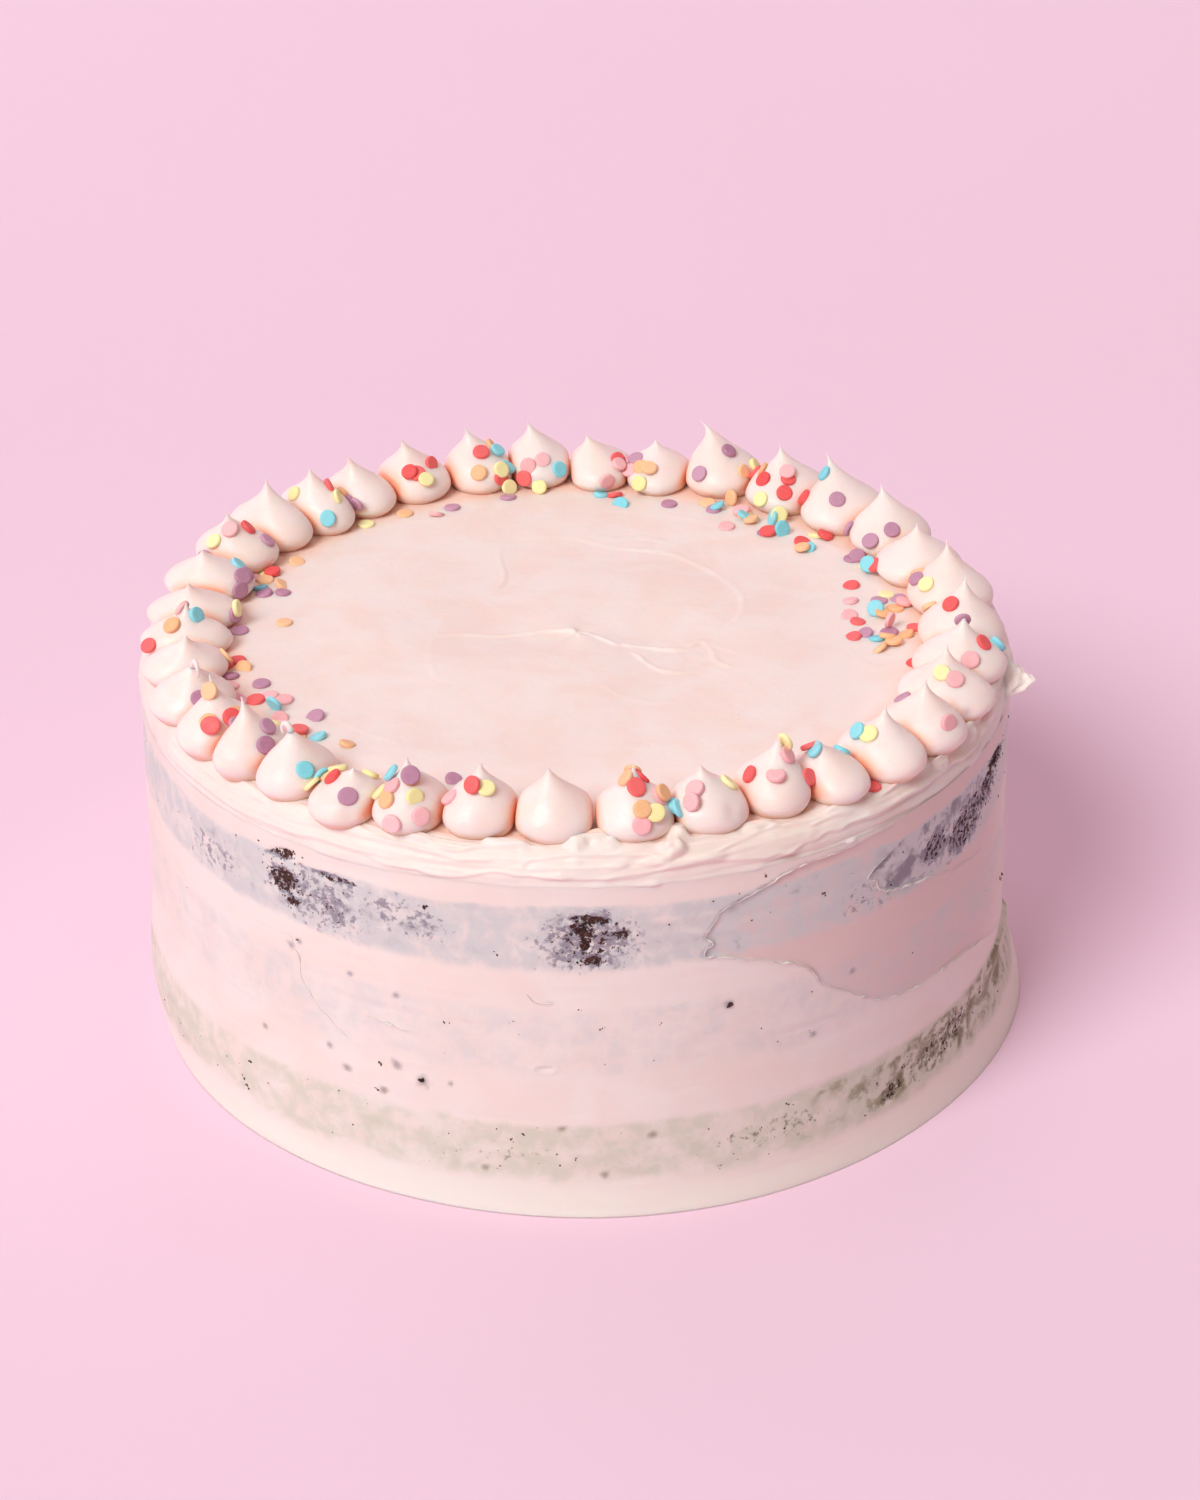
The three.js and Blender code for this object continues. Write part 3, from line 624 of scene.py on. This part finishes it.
def rim_ribbons(degrees, up):
    """Ragged ribbons and lumps pushed up along the rim, most at the front. up says how many millimetres over
    the rim from the top of the wall a place is."""
    turned = wrapped_degrees(degrees)
    across = round_wall(degrees)
    placed = ramp(turned, -70, -55) * (1 - ramp(turned, 74, 90))
    row = up / 2.7 + 1.1 * noise(degrees / 24, up * 0 + 3.3, 41, 15)
    row = row + 0.25 * noise(degrees / 6, up / 7, 42, 60)
    which = np.floor(row)
    share = row - which
    strength = ramp(noise(degrees / 15 + 5 * which, which + 0.5, 43, 24), -0.35, 0.5)
    relief = 0.65 * (1 - 0.6 * placed) * strength * ramp(share, 0, 0.15) * (1 - share) ** 0.8
    for points, ridge, step in RIBBONS:
        wander = 0.35 * noise(across / 3.1 + 40, across * 0 + ridge * 20, 47)
        relief += knife_edge(across, up + wander, outline(points), ridge, step, width=0.45, fade=3.5)
    for angle, over, half_length, half_width, height in LUMPS:
        u, v = (across - math.radians(angle) * COAT_RADIUS) / half_length, (up - over) / half_width
        ragged = 0.32 * noise(across / 2.8 + 50, up / 2, 48) + 0.06 * noise(across / 1.1 + 130, up, 49, 256)
        relief += height * ramp(1 - np.hypot(u, v) + ragged, 0, 0.7)
    torn = np.maximum(noise(degrees / 1.8, up / 1.7, 44, 200) - 0.3, 0)
    torn = torn * (0.3 + bump(np.radians(turned), 12, 4))
    lumps = 0.3 * noise(degrees / 6, up / 5, 45, 60) + 0.12 * noise(degrees / 2.4, up / 2, 50, 150)
    smears = 0.16 * noise(degrees / 14.4, up / 0.9, 46, 25)
    fade = ramp(up, -1.2, 0.6) * (1 - ramp(up, 13, 17))
    return fade * (relief + torn + lumps + smears)


def over_rim(distance):
    """How far over the rim from the top of the wall a place at a distance from the cake's middle is."""
    if distance < COAT_RADIUS - RIM_WIDTH:
        return RIM_CURVE + COAT_RADIUS - RIM_WIDTH - distance
    return RIM_CURVE * math.acos(min((distance - COAT_RADIUS + RIM_WIDTH) / RIM_WIDTH, 1)) * 2 / math.pi


def wall(name, material, first, last, columns, rows, lips=()):
    """The side from one angle to another, in degrees, with the lips on it."""
    degrees, z = np.meshgrid(np.linspace(first, last, columns), np.linspace(0, WALL_TOP, rows))
    angle = np.radians(degrees)
    x, y = on_circle(angle, COAT_RADIUS + coat_bulge(angle, z) + side_relief(degrees, z))
    inner_x, inner_y = on_circle(angle[:2], COAT_RADIUS - SIDE_COAT)
    inner = np.stack([inner_x, inner_y, np.stack([z[0] + CEILING, z[0]])], -1)
    points = np.vstack([inner.reshape(-1, 3), in_rows(x, y, z)])
    # Of these marks, the lighter foot and the yellow tint low down are painted reflected light. The thinned
    # coat on the right also carries painted shade, and the torn edge's dark line is partly painted shadow.
    marks = {
        "show": showing(degrees, z), "worn": wear(degrees, z), "low": 1 - ramp(z, 26, 40),
        "foot": 1 - ramp(z + noise(degrees / 9, z / 5, 25, 40), 1, 14), "smudges_and_edge_shadow": smudges_and_edge_shadow(degrees, z),
        "scraped_and_shaded": thinned(degrees, z)[0], "crease": 0 * z,
    }
    marks = {key: np.concatenate([grid[0], grid[0], grid.ravel()]) for key, grid in marks.items()}
    points, faces = joined([(points, grid_faces(rows + 2, columns, closed=False)), *lips])
    return mesh_piece(name, points, faces, material, **marks)


def edge_lip(points):
    """The thin lip of buttercream along an edge that the spatula left on the side."""
    line = curve_through(outline(points), 20)
    share = np.linspace(0, 1, len(line))
    heading = np.gradient(line, axis=0)
    heading /= np.hypot(*heading.T)[:, None]
    length = np.cumsum(np.hypot(*np.diff(line, axis=0, prepend=line[:1]).T))
    size = (0.6 + 0.55 * noise(length / 1.9, length * 0, 63)) * np.sin(math.pi * share) ** 0.4
    line = line + heading[:, ::-1] * (-0.3, 0.3) * noise(length / 1.3, length * 0 + 9, 64)[:, None]
    section = [(-0.32, -0.3), (-0.2, 0.5), (0, 1), (0.16, 0.7), (0.26, -0.3)]
    beside = np.array([across for across, _ in section])[None] * size[:, None]
    across, z = line[:, :1] - heading[:, 1:] * beside, line[:, 1:] + heading[:, :1] * beside
    degrees = np.degrees(across / COAT_RADIUS)
    angle = np.radians(degrees)
    stand = LIP_STAND * np.array([up for _, up in section])[None] * size[:, None]
    base = side_relief(degrees[:, 2:3], z[:, 2:3])
    x, y = on_circle(angle, COAT_RADIUS + coat_bulge(angle, z) + base + stand)
    return in_rows(x, y, z), tube_faces(len(line), len(section))


def rim(material):
    """The rounded edge and the outer part of the top, with a lick that the spatula drew out on the right."""
    columns, rows = 900, 96
    up = np.linspace(-1.2, RIM_REACH, rows)
    turn = np.clip(up / RIM_CURVE, 0, 1) * math.pi / 2
    radii = COAT_RADIUS - RIM_WIDTH * (1 - np.cos(turn)) - np.maximum(up - RIM_CURVE, 0)
    heights = WALL_TOP + RIM_DROP * np.sin(turn) + np.minimum(up, 0)
    degrees, up = np.meshgrid(np.arange(columns) * 360 / columns, up)
    angle, z = np.radians(degrees), heights[:, None] + 0 * degrees
    relief = rim_ribbons(degrees, up) - 0.12 * (1 - ramp(up, -1.2, 0))
    relief = relief + side_relief(degrees, z) * (1 - ramp(up, 0, 2))
    out = np.cos(turn)[:, None]
    bulge = coat_bulge(angle, z) * (1 - ramp(up, 5, 12))
    x, y = on_circle(angle, radii[:, None] + bulge + relief * out)
    z = z + relief * np.sqrt(1 - out * out)
    points, faces = joined([(in_rows(x, y, z), grid_faces(rows, columns)), lick()])
    marks = dict.fromkeys(("show", "worn", "low", "foot", "smudges_and_edge_shadow", "scraped_and_shaded"), 0)
    # Painted shade: peach on the rim under the kisses' feet.
    marks["crease"] = 0.5 * ramp(up, 9.5, 13.5)
    return mesh_piece("icing_rim", points, faces, material, **marks)


def lick():
    """A torn tongue of buttercream."""
    columns, rows, length = 40, 44, 10.6
    share, around = np.meshgrid(np.linspace(0, 1, rows), turns(columns), indexing="ij")
    width = 6.8 * (1 - share) ** 0.75 + 0.3 * (1 - share**8)
    torn = 1 + 0.3 * noise(around * 4 / math.pi, share * 5, 61, 8)
    torn += 0.2 * noise(around * 8 / math.pi, share * 11, 62, 16)
    side = width * torn * np.cos(around) + 2.2 * (1 - share)
    rise = 0.5 * width * torn * np.sin(around) + 0.3 * side + 1.6 * share + 0.8 * share**3
    out = 96.2 + length * share
    angle = math.radians(LICK_ANGLE)
    x = out * math.sin(angle) + side * math.cos(angle)
    y = -out * math.cos(angle) + side * math.sin(angle)
    return in_rows(x, y, TOP - 4.2 + rise), tube_faces(rows, columns)


# Edges that the palette knife left in the top: points of x and y, ridge, step.
TOP_EDGES = [
    ([(-25, 15), (-19.4, 23.1), (-17.2, 31.1), (-18.7, 42.2), (-16.4, 50.6), (-4, 52.6), (3.4, 50.1),
      (8.3, 47.1), (15.6, 45.2), (22.9, 42.8), (30, 35.4), (35.8, 27), (39, 18.9), (39.1, 11), (37.2, 4.8),
      (32, 0)], 0.2, 0.28),
    ([(-33, -1), (-24.8, 0.2), (-17.7, -0.4), (-8.4, 1.4), (0.9, 0.6), (5.5, -2.5), (10.1, -6.7)],
     0.45, 0.3),
    ([(9, -5.5), (14.8, -6.3), (20.5, -7.9), (25.2, -7.6), (28.7, -4.1)], 0.5, 0.3),
    ([(13, -9), (16, -14), (19.2, -17.8), (24.7, -18.8), (30, -15.5)], 0.45, 0.25),
    ([(28, -3), (31, -8), (32, -14), (35, -18)], 0.35, 0.25),
    ([(-30.9, 10.2), (-32.7, 1.5), (-33.7, -10.1), (-32.1, -19.9), (-28.6, -23.4), (-24.1, -21.6)],
     0.12, 0.14),
    ([(5.4, -24.7), (11, -30.5), (16.6, -33), (22, -33.1)], 0.14, 0.12),
    ([(-25.2, 15.3), (-30.9, 10.2), (-34, 4)], 0.12, 0.12),
    ([(3, 53.5), (10, 51), (17, 52), (22, 49)], 0.28, 0.12),
    ([(-40, 62), (-15, 67), (12, 66), (34, 60)], 0.08, 0.08),
    ([(-62, -18), (-55, -38), (-38, -52)], 0.08, 0.08),
    ([(64, 44), (58, 50), (48, 52)], 0.3, 0.2),
]


def icing_top(material):
    """The flat of the top."""
    columns, rows = 470, 128
    angle, distance = np.meshgrid(turns(columns), np.linspace(SEAM_RADIUS + 1.5, 0.4, rows))
    x, y = on_circle(angle, distance)
    relief = top_level(x, y) - TOP
    calm = 1 - ramp(distance, SEAM_RADIUS - 6, SEAM_RADIUS - 1)
    for points, ridge, step in TOP_EDGES:
        relief += knife_edge(x, y, points, ridge, step, width=0.6, fade=10)
    relief += 0.05 * noise(x / 9, y / 3, 51) + 0.12 * noise(x / 17, y / 14, 52)
    z = TOP + relief * calm - 0.12 * (distance > SEAM_RADIUS)
    faces = grid_faces(rows, columns) + [[(rows - 1) * columns + i for i in range(columns)]]
    # Painted shade: peach on the top near the kisses' feet.
    crease = 0.5 * ramp(distance, 75, 82)
    return mesh_piece("icing_top", in_rows(x, y, z), faces, material, crease=crease)


# ---- Kisses ----
def make_kisses():
    random = random_stream(7)
    angles = [math.radians(row[0]) for row in KISSES]
    kisses = []
    for i, (_, drawn, distance, across, height) in enumerate(KISSES):
        angle = angles[i]
        before = float(wrapped(angle - angles[i - 1])) / 2
        after = float(wrapped(angles[(i + 1) % len(angles)] - angle)) / 2
        along_x, along_y = on_circle(angle + math.pi / 2, 1)
        inward = 0.5 * bell(random)
        radius = RING_RADIUS * (before + after) * 0.55
        kisses.append({
            "number": i + 1, "node": f"kiss_{i + 1:02d}", "angle": angle, "before": before, "after": after,
            "foot": on_circle(angle, distance), "radius": radius, "stretch": across / radius,
            "height": height, "sharpness": 2.05 + 0.08 * (height - 14.5) + 0.12 * bell(random),
            "lean": (along_x * drawn + along_y * inward, along_y * drawn - along_x * inward),
            "curl": CURLED.get(i + 1, 0),
        })
    return kisses


def kiss_radius(kiss, t):
    widest = 0.22
    swell = (1 / (1 - widest) ** kiss["sharpness"] - KISS_FOOT) / widest
    return kiss["radius"] * (KISS_FOOT + swell * t) * (1 - t) ** kiss["sharpness"]


def kiss_middle(kiss, t):
    over = kiss["curl"] * np.clip((t - 0.7) / 0.3, 0, 1) ** 2
    drawn = t * t + 0.6 * over
    x, y = (foot + lean * drawn for foot, lean in zip(kiss["foot"], kiss["lean"]))
    return x, y, TOP + GAP + kiss["height"] * (t - 0.08 * over)


def stretched(kiss, t, x, y, power=1):
    """A kiss is wider across the ring than along it, all but its tip: this stretches an offset from its
    middle, or undoes that with a power of -1."""
    out_x, out_y = on_circle(kiss["angle"], 1)
    across = x * out_x + y * out_y
    grown = (1 + (kiss["stretch"] - 1) * np.clip((0.8 - t) / 0.35, 0, 1)) ** power - 1
    return x + across * out_x * grown, y + across * out_y * grown


def pressed(kiss, x, y):
    """Neighbouring kisses press flat against each other, with a soft edge to the contact."""
    distance = np.hypot(x, y)
    aside = wrapped(angle_of(x, y) - kiss["angle"])
    room = np.where(aside > 0, kiss["after"], kiss["before"]) - 0.05 / distance
    soft = aside / (1 + np.abs(aside / room) ** 12) ** (1 / 12)
    return on_circle(kiss["angle"] + soft, distance)


def hook(kiss):
    """The end of a drawn tip that bent over and hangs down."""
    columns, rows = 14, 22
    share, around = np.meshgrid(np.linspace(0, 1, rows), turns(columns), indexing="ij")
    size = 0.95 * kiss["curl"]
    bend = share * 3.9
    x, y, z = (float(v) for v in kiss_middle(kiss, 0.86))
    away = np.array(kiss["lean"]) / (math.hypot(*kiss["lean"]) + 1e-6)
    thick = 0.62 * (1 - share) ** 0.5 + 0.12
    reach = size * (1 - np.cos(bend)) + thick * np.sin(around) * np.cos(bend)
    rise = 1.35 * size * np.sin(bend) - thick * np.sin(around) * np.sin(bend)
    aside = thick * np.cos(around)
    x = x + away[0] * reach - away[1] * aside
    y = y + away[1] * reach + away[0] * aside
    return in_rows(x, y, z + rise), tube_faces(rows, columns)


def kiss_piece(kiss, material):
    columns, rows = 60, 36
    t = np.linspace(0, 1, rows) ** 0.9 * 0.985
    around, t = np.meshgrid(turns(columns), t)
    middle_x, middle_y, z = kiss_middle(kiss, t)
    lumps = 0.04 * noise(around * 4 / math.pi, t * 3, 100 + kiss["number"], 8)
    folds = 0.02 * noise(around * 8 / math.pi, t * 9, 200 + kiss["number"], 16) * ramp(t, 0.2, 0.6)
    radius = kiss_radius(kiss, t) * (1 + lumps + folds) + 0.14
    for number, degrees, level, half_width, depth in DIMPLES:
        if number == kiss["number"]:
            away = np.hypot(wrapped(around - math.radians(degrees)) * radius, (t - level) * kiss["height"])
            radius = radius - depth * np.exp(-((away / half_width) ** 2))
    offset_x, offset_y = stretched(kiss, t, radius * np.sin(around), -radius * np.cos(around))
    x, y = pressed(kiss, middle_x + offset_x, middle_y + offset_y)
    sunk = 0.5 * (1 - ramp(t, 0, 0.05))
    # Painted shade: peach low on the kiss, and on its sides where it presses on its neighbours.
    aside = wrapped(angle_of(x, y) - kiss["angle"])
    beside = ramp(np.abs(aside) / np.where(aside > 0, kiss["after"], kiss["before"]), 0.72, 1.02)
    crease = np.maximum(beside * (1 - ramp(t, 0.3, 0.7)), 0.9 * (1 - ramp(t, -0.02, 0.13)))
    parts = [(in_rows(x, y, z - sunk), tube_faces(rows, columns))]
    if kiss["curl"] > 1:
        parts.append(hook(kiss))
    return mesh_piece(f"piped_{kiss['node']}", *joined(parts), material, crease=0.8 * crease)


# ---- Sprinkles ----
def landing(kisses, x, y):
    """The highest point of the cake above x, y: its level, the way it faces and the node it belongs to."""
    for kiss in kisses:
        aside = wrapped(angle_of(x, y) - kiss["angle"])
        if -kiss["before"] < aside <= kiss["after"]:
            break
    t = 0.96
    while t > 0.1:
        middle_x, middle_y, z = kiss_middle(kiss, t)
        offset = stretched(kiss, t, x - middle_x, y - middle_y, -1)
        if math.hypot(*offset) <= kiss_radius(kiss, t):
            slope = (kiss_radius(kiss, t - 0.02) - kiss_radius(kiss, t + 0.02)) / 0.04
            facing = Vector((*stretched(kiss, t, *offset, -1), 0)).normalized() * kiss["height"]
            facing.z = max(slope, 0)
            return z, facing.normalized(), kiss["node"]
        t -= 0.02
    # How far the top falls over a millimetre.
    fall_x = top_level(x - 0.5, y) - top_level(x + 0.5, y)
    fall_y = top_level(x, y - 0.5) - top_level(x, y + 0.5)
    return top_level(x, y), Vector((fall_x, fall_y, 1)).normalized(), "icing"


def rim_height(x, y):
    """How far the ribbons and lumps of the rim stand up at x, y."""
    distance = math.hypot(x, y)
    if distance < SEAM_RADIUS - 8:
        return 0
    here, up = np.array([[math.degrees(angle_of(x, y))]]), np.array([[over_rim(distance)]])
    return max(float(rim_ribbons(here, up)[0, 0]), 0)


def drop_sprinkles(kisses):
    """Where each sprinkle came to lie: its middle, the way it faces, the number of its colour and how far
    the relief of the looks lifts it."""
    random = random_stream(11)
    lying = []

    def drop(x, y):
        z, facing, host = landing(kisses, x, y)
        on_edge = host == "icing" and random() < ON_EDGE
        tilt = 1.2 if on_edge else 0.18 * abs(bell(random))
        turn = Quaternion((*on_circle(random() * 2 * math.pi, 1), 0), tilt)
        colour = int(random() * len(SPRINKLE_COLOURS))
        lift = SPRINKLE_THICKNESS / 2 - SPRINKLE_SINK + (SPRINKLE_RADIUS * 0.75 if on_edge else 0)
        centre = Vector((x, y, z)) + facing * lift
        raised = facing * (rim_height(x, y) if host == "icing" else 0.25)
        under = [other for other in lying if (other[0] - centre).length < SPRINKLE_RADIUS * 1.5]
        if len(under) > 1:
            return False
        if under:
            centre += facing * SPRINKLE_THICKNESS * 0.8
        lying.append((centre, turn @ facing, colour, raised))
        return True

    for angle, distance, along, across, count in PINCHES:
        for _ in range(count):
            for _ in range(5):
                radius = min(distance + across * bell(random), 97)
                if drop(*on_circle(math.radians(angle + along * bell(random)), radius)):
                    break
    for angle, distance in STRAYS:
        drop(*on_circle(math.radians(angle), distance))
    return lying


def sprinkle_mesh(centre, facing, rng):
    """A pressed disc with soft edges, its faces very slightly dished."""
    columns = 20
    radius = SPRINKLE_RADIUS * rng.uniform(0.94, 1.05)
    half = SPRINKLE_THICKNESS / 2 * rng.uniform(0.88, 1.12)
    edge = [(0.45, -0.93), (0.8, -1), (0.93, -0.86), (0.99, -0.5), (1, 0)]
    profile = np.array(edge + [(r, -h) for r, h in edge[-2::-1]])
    around = turns(columns)
    oval = radius * (1 + rng.uniform(0, 0.05) * np.cos(2 * around + rng.uniform(0, 6)))
    out, rise = profile[:, :1], profile[:, 1:] * half
    disc = np.stack([out * oval * np.cos(around), out * oval * np.sin(around), rise + 0 * around], -1)
    turn = np.array(Vector((0, 0, 1)).rotation_difference(facing).to_matrix())
    return disc.reshape(-1, 3) @ turn.T + np.array(centre), tube_faces(len(profile), columns)


def show_sprinkles(kisses):
    """One piece for each colour. Each sprinkle leans a little more than it was dropped."""
    rng = np.random.default_rng(3)
    lying = []
    for centre, facing, number, raised in drop_sprinkles(kisses):
        axis = Vector(rng.normal(0, 1, 3)).normalized()
        lying.append((centre + raised, Quaternion(axis, 0.3 * rng.normal()) @ facing, number))
    for number, (name, colour) in enumerate(SPRINKLE_COLOURS.items()):
        parts = [sprinkle_mesh(centre, facing, rng) for centre, facing, own in lying if own == number]
        shades = [np.full(len(points), rng.uniform(0, 1)) for points, _ in parts]
        material = sugar(f"sugar_{name}", colour)
        piece = mesh_piece(f"sprinkles_{name}", *joined(parts), material, shade=np.concatenate(shades))
        show_piece(piece, f"sprinkle_{name}")


# ---- Crumbs ----
def crumb_mesh(centre, size, rng):
    """An uneven grain: a small ball with its points pushed about."""
    golden = (1 + 5**0.5) / 2
    square = [(-1, golden, 0), (1, golden, 0), (-1, -golden, 0), (1, -golden, 0)]
    ball = np.vstack([np.roll(square, shift, axis=1) for shift in range(3)]) / 1.9
    faces = [(0, 11, 5), (0, 5, 1), (0, 1, 7), (0, 7, 10), (0, 10, 11), (1, 5, 9), (5, 11, 4), (11, 10, 2),
             (10, 7, 6), (7, 1, 8), (3, 9, 4), (3, 4, 2), (3, 2, 6), (3, 6, 8), (3, 8, 9), (4, 9, 5),
             (2, 4, 11), (6, 2, 10), (8, 6, 7), (9, 8, 1)]
    points = ball * rng.uniform(0.65, 1.2, (12, 1)) * rng.uniform(0.6, 1.1, 3)
    return points * size + np.array(centre), faces


def crumbs(material):
    """Grains in the worn patches, and specks dragged through the thin coat."""
    rng = np.random.default_rng(17)
    grains = []
    for angle, height, half_width, half_height, tilt, how_bare in WORN:
        if how_bare < 0.65:
            continue
        for _ in range(int(4 + 0.9 * half_width * half_height)):
            u, v = rng.normal(0, 0.45, 2)
            across = u * half_width * math.cos(tilt) - v * half_height * math.sin(tilt)
            up = v * half_height * math.cos(tilt) + u * half_width * math.sin(tilt)
            degrees = angle + math.degrees(across / COAT_RADIUS)
            grains.append((degrees, height + up, rng.uniform(0.2, 0.5), 0.3))
    for degrees, z, size in SPECKS:
        for _ in range(3):
            spot = (degrees + rng.normal(0, 0.22), z + rng.normal(0, 0.3))
            grains.append((*spot, size * rng.uniform(0.3, 0.75), 0.3))
    for low, high, count in FINE_GRAINS:
        for _ in range(count):
            grains.append((rng.uniform(-180, 180), rng.uniform(low, high), rng.uniform(0.15, 0.4), 0.35))
    degrees, z, size, sunk = np.array(grains).T
    angle = np.radians(degrees)
    x, y = on_circle(angle, COAT_RADIUS + coat_bulge(angle, z) + side_relief(degrees, z) - sunk * size)
    points, faces = joined([crumb_mesh(spot, own, rng) for *spot, own in zip(x, y, z, size)])
    return mesh_piece("crumbs", points, faces, material, smooth=False)


# ---- The cake ----
crumb_material = chocolate("chocolate_crumb")
coat_material = coat_look("thin_buttercream")
lips = [edge_lip(points) for points, _, _ in SIDE_EDGES[:5]]
show_piece(wall("icing_front", coat_material, -96, 96, 610, 158, lips), "icing", "icing")
show_piece(wall("icing_back", coat_material, 95.9, 264.1, 240, 80), "icing")
show_piece(rim(coat_material), "icing")
show_piece(icing_top(cream("top_buttercream", (243, 228, 223), (242, 221, 213))), "icing")
kisses = make_kisses()
kiss_material = cream("kiss_buttercream", (252, 232, 228), (251, 227, 220), weight=0.6, gloss=0.08)
for kiss in kisses:
    show_piece(kiss_piece(kiss, kiss_material), "kiss", kiss["node"])
show_sprinkles(kisses)
show_piece(crumbs(crumb_material), "chocolate_cake")

filling_material = cream("filling_buttercream", (248, 214, 204), (246, 206, 196))
for name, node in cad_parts.items():
    if name.startswith(("cake", "filling")):
        node.data.materials.clear()
        node.data.materials.append(crumb_material if name.startswith("cake") else filling_material)


# ---- Stage ----
def backdrop():
    """A pale pink sweep of paper: the floor, and a wall that it curves up into far behind."""
    half_width, front, behind, bend, height = 3000, -2500, 330, 1300, 2600
    turn = np.linspace(0, math.pi / 2, 40)
    curve = zip(behind + bend * np.sin(turn), bend * (1 - np.cos(turn)))
    profile = [(front, 0), *curve, (behind + bend, height)]
    points = [(side * half_width, y, z) for y, z in profile for side in (-1, 1)]
    faces = [(2 * i, 2 * i + 1, 2 * i + 3, 2 * i + 2) for i in range(len(profile) - 1)]
    look = Look("pink_paper", Roughness=0.95)
    tint = look.mix(look.fade(look.noise(400), 0.3, 0.7), (241, 209, 228), (240, 207, 226))
    return mesh_piece("backdrop", points, faces, look.set(Base_Color=tint))


def area_light(name, place, target, size, power, colour):
    data = bpy.data.lights.new(name, "AREA")
    data.shape = "DISK"
    data.size = size
    data.energy = power
    data.color = colour
    light = placed(name, data)
    light.location = place
    light.rotation_euler = (Vector(target) - Vector(place)).to_track_quat("-Z", "Y").to_euler()


def camera():
    """The photograph's view: 29 degrees down, 76 cm away, with the horizon turned a little."""
    eye = Vector((5.24, -663.36, 435.09)) * MM
    aim = Vector((5.24, -1.65, 62.63)) * MM
    data = bpy.data.cameras.new("camera")
    data.lens = 76.8
    data.sensor_width = 36
    forward = (aim - eye).normalized()
    level = forward.to_track_quat("-Z", "Y").to_matrix().to_4x4()
    roll = Matrix.Rotation(math.radians(-0.668), 4, "Z")
    scene.camera = placed("camera", data)
    scene.camera.matrix_world = Matrix.Translation(eye) @ level @ roll


backdrop()
area_light("key", (-2.74, -3.52, 4.25), (0, 0, 0.05), 3, 312, (0.97, 1, 0.99))
area_light("overhead", (0.3, 0.6, 3.5), (0, 0, 0), 3, 22, (0.96, 1, 0.98))
world = bpy.data.worlds.new("studio")
world.use_nodes = True
background = world.node_tree.nodes["Background"].inputs
background["Color"].default_value = (1, 0.74, 0.66, 1)
background["Strength"].default_value = 0.24
scene.world = world
scene.view_settings.view_transform = "Standard"
camera()
